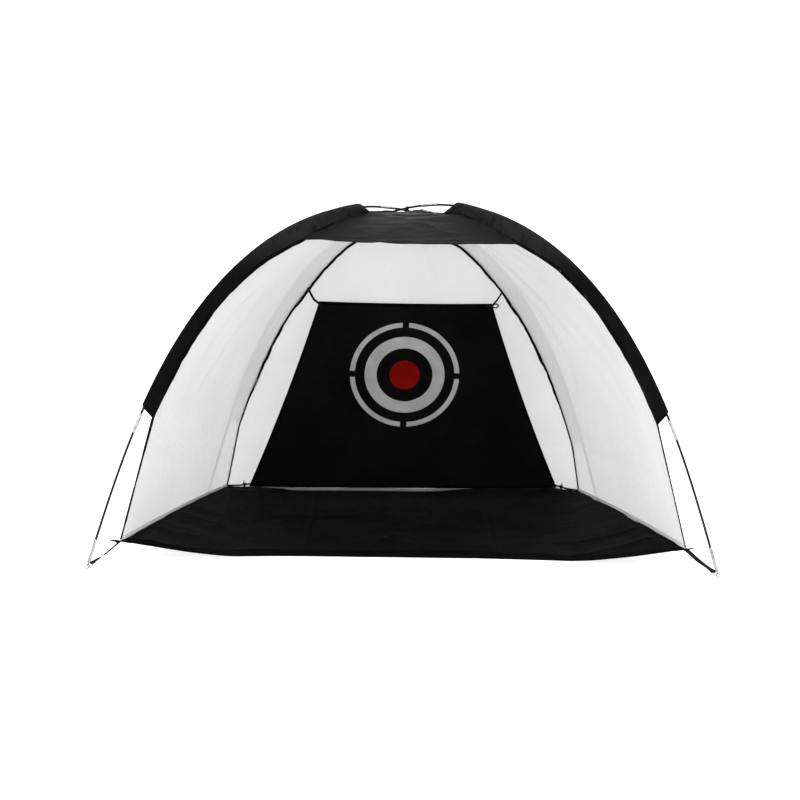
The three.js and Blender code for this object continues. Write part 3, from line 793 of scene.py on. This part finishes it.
def tip_piece(leg):
    """The rod's metal end: a tube with a rounded closed end and two crimps."""
    point, tangent, _ = leg.frame(0.0)
    full, crimped = FERRULE_OUTSIDE, 0.0049
    bore, pin_hole = FERRULE_INSIDE - 0.0001, PIN_RADIUS + 0.0002
    profile = [(0.0, pin_hole), (0.0, 0.0038), (0.0003, 0.0046), (0.001, 0.0051), (0.002, full),
               (0.058, full), (0.0595, crimped), (0.061, full), (0.0675, full), (0.069, crimped),
               (0.0705, full), (0.0792, full), (TIP_LENGTH, crimped), (TIP_LENGTH, bore),
               (TIP_PLUG, bore), (TIP_PLUG, pin_hole)]
    side, other = leg.normal, np.cross(tangent, leg.normal)
    rings = [ring(point + tangent * s, side, other, r, 28) for s, r in profile]
    lengths = np.array([s for s, _ in profile])
    uv = np.stack(np.meshgrid(lengths, np.linspace(0, 0.03, 28), indexing="ij"), -1)
    piece = loft(Soup(), rings, True, uv).build(f"{leg.name}_tip", STEEL, "steel")
    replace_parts(piece, f"{leg.name}_rod_tip")


def pin_piece(leg):
    point, tangent, _ = leg.frame(0.0)
    eye = point - tangent * EYE_BELOW
    across = np.cross(tangent, leg.normal)
    soup = Soup()
    loop = ring(eye, tangent, across, EYE_RADIUS, 40)
    tube(soup, loop, WIRE_RADIUS, 12, leg.normal, True)
    base = -EYE_BELOW + EYE_RADIUS
    stops = [base - 0.0006, base + 0.0006, base + 0.0016, 0.01, PIN_INSIDE - 0.0012, PIN_INSIDE]
    radii = [0.0012, 0.0022, 0.0021, 0.0021, 0.0021, 0.0012]
    tube(soup, [point + tangent * s for s in stops], radii, 16, leg.normal)
    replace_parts(soup.build(f"{leg.name}_pin", WIRE, "steel"), f"{leg.name}_foot_pin")
    return eye


def ring_piece(leg, eye):
    pull = unit(leg.corner - eye)
    down = np.cross(pull, leg.normal)
    down = -down if down[2] > 0 else down
    apex = eye + pull * 0.0014 + down * 0.0019
    centre = eye + pull * (0.0014 + RING_LENGTH)
    along = unit(centre - apex)
    straight = np.linalg.norm(centre - apex) - RING_HALF
    place = lambda a, b: apex + along * a + leg.normal * b
    angles = np.linspace(0, math.pi, 21)
    points = [place(RING_HALF * (1 - math.sin(t)), RING_HALF * math.cos(t)) for t in angles]
    end, bend = RING_HALF + straight, 0.0018
    for corner in (-1, 1):
        for t in np.linspace(0, math.pi / 2, 5):
            a = end - bend + bend * (math.sin(t) if corner < 0 else math.cos(t))
            b = RING_HALF - bend + bend * (math.cos(t) if corner < 0 else math.sin(t))
            points.append(place(a, corner * b))
    piece = tube(Soup(), points, WIRE_RADIUS, 12, np.cross(along, leg.normal), True).build(
        f"{leg.name}_ring", WIRE, "steel", f"{leg.name}_ring")
    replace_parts(piece, f"{leg.name}_foot_ring")
    return centre


def ribbon(soup, path, across, width, thickness):
    """Webbing along a path; across is its width's direction at each point."""
    path = np.asarray(path, float)
    across = np.broadcast_to(across, path.shape)
    tangent = unit(np.gradient(path, axis=0))
    across = unit(across - tangent * (across * tangent).sum(-1, keepdims=True))
    face = np.cross(tangent, across)
    outline = [(-1, -0.5), (-0.97, -1), (-0.4, -1), (0.4, -1), (0.97, -1), (1, -0.5),
               (1, 0.5), (0.97, 1), (0.4, 1), (-0.4, 1), (-0.97, 1), (-1, 0.5)]
    half = np.broadcast_to(np.asarray(width, float) / 2, len(path))
    rings = [[p + a * x * w + f * y * thickness / 2 for x, y in outline]
             for p, a, f, w in zip(path, across, face, half)]
    uv = [[(x * w, s) for x, _ in outline] for s, w in zip(lengths_along(path), half)]
    return loft(soup, rings, False, uv)


def strap_piece(leg, bar):
    """Webbing from the ring's bar to the floor's corner, looped round the bar and sewn to itself."""
    reach = leg.corner - bar
    length, along = np.linalg.norm(reach), unit(reach)
    above = np.cross(leg.normal, along)
    above = -above if above[2] < 0 else above
    place = lambda a, b: bar + along * a + above * b
    bend, fold = 0.00275, 0.024
    spread = lambda a: 1 - smooth(a, 0.003, 0.016)
    path = [place(a, -0.0010 - 0.0017 * spread(a)) for a in np.linspace(fold, 0.002, 8)]
    path += [place(-bend * math.sin(t), -bend * math.cos(t)) for t in np.linspace(0.1, math.pi - 0.1, 9)]
    sag = -0.003 if leg.front else -0.0015
    for a in np.linspace(0.002, length + 0.006, 22):
        hang = sag * math.sin(math.pi * min(a / length, 1)) ** 2
        path.append(place(a, 0.0004 + 0.0023 * spread(a) + hang))
    path = np.array(path)
    share = np.clip(((path - bar) @ along - fold) / (length - fold), 0, 1)
    turn = {"front_left": 1.15, "rear_right": 0.5}.get(leg.name, 0.12) * smooth(share, 0, 0.45)
    across = np.outer(np.cos(turn), leg.normal) + np.outer(np.sin(turn), above)
    widths = {"front_left": 0.016 - 0.009 * smooth(share, 0, 0.35), "front_right": 0.022}
    soup = ribbon(Soup(), path, across, widths.get(leg.name, STRAP_WIDTH), STRAP)
    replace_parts(soup.build(f"{leg.name}_webbing", WEBBING, "webbing"), f"{leg.name}_strap")
    threads = Soup()
    near, far, half = 0.009, 0.021, STRAP_WIDTH / 2 - 0.003
    box = [(near, -half), (far, -half), (far, half), (near, half), (near, -half), (far, half)]
    corners = [place(a, 0.0016) + leg.normal * b for a, b in box]
    stitch_row(threads, corners, 0.0028, 0.7, 0.0003)
    threads.build(f"{leg.name}_strap_stitches", THREAD, "webbing")


for leg in legs.values():
    tip_piece(leg)
    strap_piece(leg, ring_piece(leg, pin_piece(leg)))

# ---------------- sleeves and bound seams


def sleeve_piece(leg, seed):
    """A cloth tunnel round the rod that narrows to its sewn seam."""
    low, high = leg.sleeve
    loose, slant = (0.0022, 0.016) if leg.front else (0.0012, 0.008)
    cut = [-0.042, -0.035, -0.021, 0.022] if leg.front else [-0.006, -0.004, 0.0, 0.006]
    # w runs from the seam over one side, round the rod and back along the other side to the seam.
    share, w = np.meshgrid(np.arange(151) / 150, np.arange(34) / 34, indexing="ij")
    side, x = np.where(w < 0.5, 1, -1), np.abs(1 - 2 * w)
    d = low + (high - low) * share
    ends = slant * (1 - share) ** 6 * (1 - 2 * x) + np.interp(x, [0, 0.2, 0.42, 1], cut) * share ** 10
    point, _, inward = leg.frame(np.clip(d + ends, 0.01, leg.rod.length - 0.01))
    tail = eased(leg.seam, d) + 0.0030
    bore = SLEEVE_BORE + (SLEEVE_PUFF * smooth(share, 0.86, 1.0) if leg.front else 0.0)
    on_rod, angle = x < SLEEVE_WRAP_SHARE, math.pi - x / SLEEVE_WRAP_SHARE * SLEEVE_WRAP
    flat = np.maximum(0, (x - SLEEVE_WRAP_SHARE) / (1 - SLEEVE_WRAP_SHARE))
    off_a, off_b = bore * math.cos(math.pi - SLEEVE_WRAP), bore * math.sin(math.pi - SLEEVE_WRAP)
    a = np.where(on_rod, bore * np.cos(angle), off_a + (tail - off_a) * flat)
    b = np.where(on_rod, bore * np.sin(angle), off_b * (1 - flat) ** 1.25 + 0.0007) * side
    s = d * 100
    fold = fbm(s / 3.2 + 2.3 * x, x * 5 / 3 + side * 9, seed)
    fold = fold + 0.9 * ridges(s / 5.5 + x, x * 5 / 9 + 3 * side, seed + 5)
    swell = np.maximum(loose * fold * np.sin(math.pi * x ** 0.9), -0.0006 - 0.2 * np.abs(b))
    if leg.front:
        # The cloth puckers where the roof pulls at it.
        pucker = ridges(s / 3.4 + 1.6 * x, x * 1.2 + side, seed + 9) * smooth(share, 0.66, 0.82)
        swell = swell + 0.0048 * pucker * np.sin(math.pi * x)
    a = a + 0.0014 * noise(s / 2.6, seed, seed + 2) * x ** 3
    b = b + side * swell * (x > 0.25)
    outer = point + inward * a[..., None] + leg.normal * b[..., None]
    # The inside lies a cloth's thickness in from the outside.
    normal = unit(np.cross(np.roll(outer, -1, 1) - np.roll(outer, 1, 1), np.gradient(outer, axis=0)))
    toward = np.sign(((outer.mean(1, keepdims=True) - outer) * normal).sum(-1).mean())
    inner = outer + normal * toward * SLEEVE_WALL
    uv = np.stack([side * x * 0.055, d], -1)
    soup = loft(Soup(), np.concatenate([outer, inner[::-1]]), True, np.concatenate([uv, uv[::-1]]))
    looks = (SLEEVE, THREAD, "black_cloth") if leg.front else (NET_SLEEVE, PALE_THREAD, "netting")
    cloth, thread, slot = looks
    piece = soup.build(f"{leg.name}_sleeve_cloth", cloth, slot)
    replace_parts(piece, f"{leg.name}_sleeve")
    threads = Soup()
    d = np.linspace(low + 0.01, high - 0.01, 160)
    point, _, inward = leg.frame(d)
    for side in (1, -1):
        for back in (0.0035, 0.0085):
            tail = (eased(leg.seam, d) - back)[:, None]
            stitch_row(threads, point + inward * tail + leg.normal * side * 0.0016)
    threads.build(f"{leg.name}_sleeve_stitches", thread, slot)


def binding_piece(leg, seed):
    """The tape that binds the seam, from the top down to the floor's corner."""
    widths = {"front_left": (0.0052, 0.0031), "front_right": (0.0042, 0.0018)}
    top, bottom = widths.get(leg.name, (0.0062, 0.0042))
    slack = 0.0034 if leg.front else 0.0068
    t = np.linspace(0.018 if leg.front else 0.0, 0.995, 300)
    path = leg.seam_point(t)
    inward = unit(vec(0, -0.05, 0.25) - path)
    lateral = unit(np.cross(np.gradient(path, axis=0), inward))
    taut = smooth(t, 0, 0.03) * smooth(0.995 - t, 0, 0.03) * (1 - 0.85 * smooth(t, 0.66, 0.8))
    kinks = noise(t * 17, 0.5, seed) + 0.65 * noise(t * 48, 1.5, seed + 1)
    kinks = kinks + 0.25 * noise(t * 120, 2.5, seed + 2)
    apart = (0.0030 - 0.0021 * smooth(t, 0.66, 0.76))[:, None]
    outside = path - inward * apart + lateral * (0.0012 * kinks * taut)[:, None]
    path = path + inward * apart + lateral * (slack * kinks * taut)[:, None]
    half_width = bottom + (top - bottom) * (1 - smooth(t, 0.72, 0.86))
    radii = [(w * (1 + 0.2 * float(noise(k * 60, 2.2, seed))), 0.0019) for k, w in zip(t, half_width)]
    soup = tube(Soup(), path, radii, 10, unit(vec(0, 1, 0.15)))
    tube(soup, outside, [(w, 0.0013) for w in 0.0032 - 0.0018 * smooth(t, 0.66, 0.76)], 8, inward)
    return soup.build(f"{leg.name}_binding", BINDING, "black_cloth")


for number, leg in enumerate(legs.values()):
    binding_piece(leg, 31 + number)
    sleeve_piece(leg, 3 + 7 * number)

# ---------------- surfaces of the cloths


def floor_base(u, v):
    """The floor: u from -1 to 1 across, v from 0 at the front to 1 at the rear."""
    u, v = np.broadcast_arrays(np.asarray(u, float), np.asarray(v, float))
    front, rear = legs["front_right"].corner, legs["rear_right"].corner
    beyond = lambda value, start, power: np.maximum(0, (value - start) / (1 - start)) ** power
    across = np.abs(u)
    front_y = front[1] + FLOOR_SETBACK * (1 - across ** 4)
    y = front_y + (rear[1] - front_y) * v
    half = front[0] + (rear[0] - front[0]) * v
    side_height = front[2] + (rear[2] - front[2]) * v + 4 * FLOOR_SIDE_BOW * v * (1 - v)
    side = beyond(across, FLOOR_SIDE_FLAT, 1.6)
    lift = side_height * side + eased(FLOOR_REAR_HEIGHT, u) * beyond(v, FLOOR_REAR_FLAT, 2) * (1 - side)
    return np.stack([u * (half - 0.006), y, 0.0008 + lift], -1)


def middle_of(t, margin):
    """1 in the middle of a range from 0 to 1, falling to 0 over a margin at each end."""
    return smooth(t, 0, margin) * smooth(1 - t, 0, margin)


def floor_surface(u, v):
    """The floor with its creases."""
    p = floor_base(u, v)
    x, y = p[..., 0], p[..., 1]
    soft = 0.5 + 0.5 * fbm(x / 0.20, y / 0.13, 41)
    lines = ridges(x / 0.34 + 0.6 * noise(x / 0.5, y / 0.5, 3), y / 0.16, 44)
    fans = ridges(x / 0.09, y / 0.4 + x * 1.7, 47) * smooth(np.abs(u), 0.5, 0.9)
    edge = smooth(1 - np.abs(u), 0, 0.06) * smooth(1 - np.abs(2 * v - 1), 0, 0.05)
    lift = 0.0075 * np.clip(soft, 0, 1) + 0.0075 * lines + 0.0055 * fans
    # Two faint creases from packing run from front to back, and one across.
    for line, where in ((x, -0.33), (x, 0.31), (y, 0.12)):
        lift = lift + 0.0016 * np.exp(-((line - where) / 0.009) ** 2)
    waves = 0.0032 * noise(v * 15, 0.5 + np.sign(u), 51) * smooth(np.abs(u), 0.9, 1)
    waves = waves * smooth(1 - np.abs(2 * v - 1), 0, 0.2)
    p[..., 2] += lift * (0.15 + 0.85 * edge) + waves
    return p


def between(a, b, v):
    return a + (b - a) * v[..., None]


def net_surface(a, b, edge, seed):
    """A net between two seams. t is 0 at the top and 1 at the floor, v is 0 at seam a and 1 at b."""
    def at(v, t):
        v, t = np.broadcast_arrays(np.asarray(v, float), np.asarray(t, float))
        shape = between(a.seam_point(0.008 + 0.990 * t), b.seam_point(0.008 + 0.990 * t), v)
        straight = between(a.seam_point(0.998), b.seam_point(0.998), v)
        reach = np.maximum(0, (t - 0.55) / 0.45) ** 2 * middle_of(v, 0.03)
        shape = shape + (edge(v) - straight) * reach[..., None]
        out = unit(shape - vec(0, 0, 0.1))
        middle = middle_of(v, 0.12) * smooth(1 - t, 0, 0.1) * smooth(t, 0.02, 0.2)
        soft = 0.0045 * fbm(v * 3.1 + 2 * t, t * 3.7, seed)
        soft = soft + 0.0022 * ridges(v * 5 + t * 2, t * 2.2 - v, seed + 4)
        pull = 0.0035 * noise(np.arctan2(1.04 - t, v + 0.04) * 9, 0.3, seed + 8)
        pull = pull * np.exp(-((v / 0.25) ** 2)) * smooth(t, 0.5, 1)
        return shape + out * ((soft + pull) * middle)[..., None]
    return at


def side_edge(side):
    return lambda v: floor_base(float(side), v) + vec(side * 0.001, 0, 0.0)


def rear_edge(v):
    return floor_base(2 * v - 1, 0.994) + vec(0, 0.001, 0.0)


def roof_surface(u, t):
    """The roof strip: u from 0 at the left seam to 1 at the right, t from 0 at the top to 1 in front."""
    left, right = legs["front_left"], legs["front_right"]
    low = left.seam_at(left.seam_low)
    whole = left.seam_top - left.seam_low + np.linalg.norm(left.corner - low)
    left_share, right_share = [(left.seam_top - ROOF_EDGE - nearer) / whole for nearer in ROOF_CORNERS]
    left_point = left.seam_point(0.004 + (left_share - 0.004) * t)
    right_point = right.seam_point(0.004 + (right_share - 0.004) * t)
    p = between(left_point, right_point, u)
    width = np.linalg.norm(right_point - left_point, axis=-1)
    x, y = (u - 0.5) * width, t * 0.33
    edge = middle_of(u, 0.1)
    soft = 0.0040 * fbm(x / 0.10, y / 0.05, 81)
    soft = soft + 0.0034 * ridges(x / 0.22, y / 0.045 + 0.3 * noise(x / 0.1, y / 0.2, 5), 84)
    fans = 0.0050 * ridges(y / 0.026 + 1.1 * x, x / 0.12, 87) * smooth(np.abs(u - 0.5), 0.24, 0.45)
    lines = ((0.40, 0.26, 0.88, -0.0070), (0.56, 0.60, 0.92, -0.0055), (0.72, 0.10, 0.50, 0.0035))
    for height, start, end, depth in lines:
        line = height + 0.03 * noise(u * 6, height * 9, 6)
        shown = smooth(u, start, start + 0.12) * smooth(-u, -end, 0.12 - end)
        soft = soft + depth * np.exp(-((t - line) / 0.035) ** 2) * shown
    sag = -0.005 * np.sin(math.pi * u) * np.sin(math.pi * np.clip(t, 0, 1) * 0.5) ** 2
    p[..., 2] += (soft + fans) * (0.1 + 0.9 * edge) * smooth(width, 0.02, 0.2) + sag
    return p


_, TARGET_BACKWARD, TARGET_DOWN = np.subtract(TARGET_BOTTOM, TARGET_TOP) * (1, 1, -1)
TARGET_HEIGHT = math.hypot(TARGET_BACKWARD, TARGET_DOWN)
TARGET_BACK = vec(0, TARGET_DOWN, TARGET_BACKWARD) / TARGET_HEIGHT


def target_half(v):
    """Half the target's width at v from its top."""
    return TARGET_TOP[0] + (TARGET_BOTTOM[0] - TARGET_TOP[0]) * v - 4 * TARGET_WAIST * v * (1 - v)


def target_surface(u, v):
    """The target: u from -1 to 1 across, v from 0 at its top edge to 1 at its bottom edge."""
    half = target_half(v)
    y, z = TARGET_TOP[1] + TARGET_BACKWARD * v, TARGET_TOP[2] - TARGET_DOWN * v
    top_sag = -0.004 * (1 - u ** 2) * (1 - v) ** 2
    tilt = 0.006 * u * v ** 2
    hang = -0.004 * (1 - u ** 4) * v ** 3
    p = np.stack([u * half, y, z + top_sag + tilt + hang], -1)
    x, down = u * half, v * TARGET_HEIGHT
    inner = smooth(1 - np.abs(u), 0, 0.12) * (0.25 + 0.75 * middle_of(v, 0.1))
    soft = 0.0045 * fbm(x / 0.26, down / 0.33, 91)

    def fan(x, seed):
        around = np.arctan2(down + 0.02, x + 0.34)
        return noise(around * 7, 0.4, seed) * np.exp(-((x + 0.32) / 0.22) ** 2)

    # Creases fan out from the two upper corners, and a short one crosses the printed rings.
    pull = fan(x, 93) + fan(-x, 94)
    a, b = x - 0.06, down - 0.34
    fold = 0.0030 * np.exp(-((a * 0.8 + b * 0.6) / 0.012) ** 2) * np.exp(-(a ** 2 + b ** 2) / 0.008)
    return p + TARGET_BACK * ((soft + 0.0030 * pull + fold) * inner)[..., None]


def sample(surface, us, vs):
    u, v = np.meshgrid(us, vs)
    return surface(u, v)


def rows(count, low=0.0, high=1.0):
    return np.linspace(low, high, count)


def strip(name, surface, fixed, start, width, path, material, slot, thickness=HEMMED, body="tent"):
    """A hem or tape along a surface's edge, where "u" or "v" (fixed) goes from start by width."""
    across = np.linspace(start, start + width, 4)
    grid = sample(surface, across, path) if fixed == "u" else sample(surface, path, across)
    return cloth_sheet(Soup(), grid, thickness).build(name, material, slot, body)


def sew(threads, surface, u, v, lift, pitch=STITCH_PITCH):
    """Stitches along a line on a surface, where u or v is one value."""
    u, v = np.broadcast_arrays(np.asarray(u, float), np.asarray(v, float))
    stitch_row(threads, surface(u, v) + lift, pitch)


# ---------------- nets

nets = [  # name, its two legs, lower edge, seed, flat size and area, ends of its tape
    ("left", "front_left", "rear_left", side_edge(-1), 61, (1.34, 1.52), 1.155, (0.012, 0.988)),
    ("right", "front_right", "rear_right", side_edge(1), 67, (1.34, 1.52), 1.155, (0.012, 0.988)),
    ("rear", "rear_left", "rear_right", rear_edge, 73, (1.35, 1.26), 1.07, (0.065, 0.74)),
]
NET_TAPE = 0.0085  # the tape's width, a share of the net's height
for name, a, b, edge, seed, flat, area, (low, high) in nets:
    surface = net_surface(legs[a], legs[b], edge, seed)
    # The rear net's lighter netting is painted light against its shade.
    netting = NET_PAINTED_LIGHTER if name == "rear" else NET
    grid = sample(surface, rows(81), rows(101))
    piece = cloth_sheet(Soup(), grid, NETTING).build(f"net_{name}_panel", netting, "netting")
    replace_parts(piece, f"net_{name}")
    path = rows(121, low, high)
    tape = strip(f"net_{name}_bottom_tape", surface, "v", 1.0, -NET_TAPE, path, TAPE, "netting")
    threads = Soup()
    for back in (0.0018, NET_TAPE):
        line = surface(rows(400, low, high), np.full(400, 1.0 - back))
        stitch_row(threads, line + unit(vec(0, 0, 0.35) - line) * 0.0012, share=0.8, radius=0.0008)
    sewn = threads.build(f"net_{name}_tape_stitches", SEAM_THREAD, "netting")

# ---------------- roof

grid = sample(roof_surface, rows(145, -0.014, 1.014), rows(91))
roof = cloth_sheet(Soup(), grid, CLOTH).build("roof_cloth", ROOF, "black_cloth")
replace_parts(roof, "roof")
path = rows(141, 0.004, 0.996)
roof_hem = strip("roof_front_hem", roof_surface, "v", 1.003, -0.045, path, ROOF, "black_cloth", ROOF_HEM)
threads = Soup()
for back in (0.008, 0.036):
    sew(threads, roof_surface, rows(300, 0.01, 0.99), 1.0 - back, UP * 0.0012, 0.0055)
roof_threads = threads.build("roof_hem_stitches", THREAD, "black_cloth")

# ---------------- floor

grid = sample(floor_surface, rows(221, -1, 1), rows(141))
floor_cloth = cloth_sheet(Soup(), grid, CLOTH).build("floor_cloth", FLOOR, "black_cloth")
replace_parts(floor_cloth, "floor")
# The floor's front hem is a darker sheet, widest in the middle and narrowing to the corners: a real hem,
# but its darkness and width are painted shade where the front edge falls away.
shade_band_u, shade_band_v = np.meshgrid(rows(201, -0.995, 0.995), rows(12))
shade_band_v = shade_band_v * (0.010 + 0.080 * (1 - np.abs(shade_band_u) ** 2.5))
front_hem_painted_shade = cloth_sheet(Soup(), floor_surface(shade_band_u, shade_band_v), FLOOR_HEM)
floor_hems = [front_hem_painted_shade.build("floor_front_hem_painted_shade", HEM_AND_SHADE, "black_cloth")]
threads = Soup()
sew(threads, floor_surface, rows(500, -0.985, 0.985), 0.013, UP * 0.0013)
for name, side in SIDES.items():
    floor_hems.append(strip(f"floor_{name}_hem", floor_surface, "u", side, -side * 0.012,
                            rows(161, 0.004, 0.99), HEM_AND_SHADE, "black_cloth", FLOOR_HEM))
    sew(threads, floor_surface, side * 0.990, rows(400, 0.01, 0.985), UP * 0.0013)
floor_hems.append(threads.build("floor_stitches", THREAD, "black_cloth"))
for leg in legs.values():
    v = rows(7, -0.003, 0.032) if leg.front else rows(7, 0.966, 1.003)
    patch = cloth_sheet(Soup(), sample(floor_surface, leg.side * rows(7, 0.968, 1.003), v), PATCH)
    floor_hems.append(patch.build(f"{leg.name}_corner_patch", HEM_AND_SHADE, "black_cloth"))

# ---------------- target

grid_u, grid_v = np.meshgrid(rows(161, -1, 1), rows(141))
plane_uv = np.stack([grid_u * target_half(grid_v), grid_v * TARGET_HEIGHT], -1)
target = cloth_sheet(Soup(), target_surface(grid_u, grid_v), CLOTH, plane_uv)
target = target.build("target_cloth", PRINT, "target_cloth", "target")
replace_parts(target, "target_sheet")


def target_hem(name, fixed, start, width, path):
    return strip(f"target_{name}_hem", target_surface, fixed, start, width, path, HEM_AND_SHADE, "target_cloth",
                 body="target")


hems = [target_hem("top", "v", 0.0, 0.022, rows(121, -0.998, 0.998)),
        target_hem("bottom", "v", 1.0, -0.022, rows(161, -0.998, 0.998))]
threads = Soup()
in_front = TARGET_BACK * -0.0014
for v in (0.019, 0.981):
    sew(threads, target_surface, rows(300, -0.98, 0.98), v, in_front, 0.0055)
for name, side in SIDES.items():
    hems.append(target_hem(name, "u", side, -side * 0.03, rows(121)))
    sew(threads, target_surface, side * 0.974, rows(300, 0.02, 0.98), in_front, 0.0055)
hems.append(threads.build("target_stitches", THREAD, "target_cloth", "target"))

# ---------------- ties


def knot(soup, centre, first, second, size, radius):
    """A small overhand knot: a trefoil lying in the plane of two directions."""
    t = np.linspace(0, 2 * math.pi, 60, endpoint=False)
    third = np.cross(first, second)
    x, y, z = np.sin(t) + 2 * np.sin(2 * t), np.cos(t) - 2 * np.cos(2 * t), -np.sin(3 * t)
    path = centre + size / 3 * (np.outer(x, first) + np.outer(y, second) + 0.8 * np.outer(z, third))
    tube(soup, path, radius, 8, None, True)


def cord_end(soup, start, offsets, radius):
    """A short bent piece of cord from a knot, through points given as offsets from it."""
    tube(soup, curve([start + vec(*offset) for offset in offsets], 8), radius, 8)


def target_corner(leg, v, back):
    return target_surface(np.array(leg.side * 0.985), np.array(v)) + TARGET_BACK * back


def top_tie(leg, bow):
    start, corner = leg.seam_at(TOP_TIE_SEAM) + vec(0, -0.003, 0), target_corner(leg, 0.012, -0.003)
    soup = Soup()
    sag = vec(0, -0.002, -0.0045) if bow else vec(leg.side * -0.002, -0.002, -0.014)
    middle = (start + corner) / 2 + sag
    bend = start * 0.6 + corner * 0.4 + vec(0, -0.001, -0.004 if bow else -0.011)
    tube(soup, curve([start, bend, middle, corner], 10), 0.0032 if bow else 0.0044, 10)
    side = vec(1, 0, 0)
    knot(soup, corner + vec(0, -0.002, 0), side, UP, 0.0062, 0.0022)
    nought = (0, 0, 0)
    if bow:
        for reach, drop in ((0.026, 0.009), (-0.018, 0.006)):
            cord_end(soup, corner, [nought, (reach * 0.6, -0.004, drop), (reach, -0.005, drop * 0.3),
                                    (reach * 0.6, -0.004, -drop * 0.6), nought], 0.0024)
        for reach, drop in ((0.010, -0.022), (-0.012, -0.018)):
            bend, end = (reach * 0.5, -0.004, drop * 0.5), (reach, -0.002, drop)
            cord_end(soup, corner, [nought, bend, end], 0.0019)
    else:
        knot(soup, start + vec(0, -0.002, 0), side, UP, 0.0045, 0.0017)
        cord_end(soup, corner, [nought, (0.006, -0.004, -0.012), (0.004, -0.002, -0.026)], 0.0014)
    soup.build(f"top_tie_{leg.hand}", CORD, "webbing")


def low_tie(leg):
    start, end = leg.corner + vec(-leg.side * 0.006, -0.004, 0.006), target_corner(leg, 0.985, 0.003)
    soup = Soup()
    path = curve([start, (start + end) / 2 + vec(0, 0, -0.003), end], 16)
    tube(soup, path, 0.0030, 10)
    tied = path[len(path) * 2 // 3]
    knot(soup, tied + vec(0, -0.003, 0.001), vec(1, 0, 0), UP, 0.0062, 0.0024)
    for rise in (0.017, -0.014):
        bend, end_at = (leg.side * 0.003, -0.006, rise * 0.6), (leg.side * 0.002, -0.005, rise)
        cord_end(soup, tied, [(0, 0, 0), bend, end_at], 0.0018)
    piece = soup.build(f"low_tie_{leg.hand}", CORD, "webbing", None)
    tuple(start)
    tuple(end)
    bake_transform(piece)


def corner_tail(leg, reach, width, knotted):
    """The loose end of a front strap, standing outwards from the floor's corner."""
    corner = leg.corner - leg.heading * 0.004 + vec(0, 0, 0.001)
    outward = vec(leg.side, 0, 0)
    soup = Soup()
    if knotted:
        knot(soup, corner - leg.heading * 0.005, leg.normal, UP, 0.0065, 0.0024)
    path = curve([corner - outward * 0.004, corner + outward * reach * 0.5 + vec(0, -0.004, 0.004),
                  corner + outward * reach + vec(0, -0.006, 0.005)], 8)
    ribbon(soup, path, UP + leg.heading * 0.4, width * (1 - 0.4 * np.linspace(0, 1, len(path))), 0.0014)
    soup.build(f"{leg.name}_strap_end", WEBBING, "webbing")


corner_tail(legs["front_left"], 0.024, 0.0085, True)
corner_tail(legs["front_right"], 0.020, 0.006, False)
top_tie(legs["rear_left"], False)
top_tie(legs["rear_right"], True)
low_tie(legs["rear_left"])
low_tie(legs["rear_right"])


def crossing_piece():
    """A tape wrapped round both rods where they cross, with a tail down to the roof's peak."""
    lower, upper = legs["front_left"].frame(CROSSING)[0], legs["front_right"].frame(CROSSING)[0]
    centre = (lower + upper) / 2 * vec(0, 1, 1)
    soup = Soup()
    for offset in (-0.0035, 0.0, 0.0035):
        t = np.linspace(0, 2 * math.pi, 44, endpoint=False)
        round_it = np.stack([offset + 0.0006 * np.sin(3 * t), 0.0098 * np.cos(t), 0.0108 * np.sin(t)], -1)
        tube(soup, centre + round_it, 0.0013, 8, None, True)
    knot(soup, centre + vec(0, -0.0125, -0.002), vec(1, 0, 0), UP, 0.0042, 0.0014)
    tail = [(0, -0.011, -0.003), (0.006, -0.014, -0.012), (0.003, -0.012, -0.022)]
    cord_end(soup, centre, tail, 0.0012)
    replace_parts(soup.build("crossing_lashing", CORD, "webbing"), "crossing_tie")


crossing_piece()
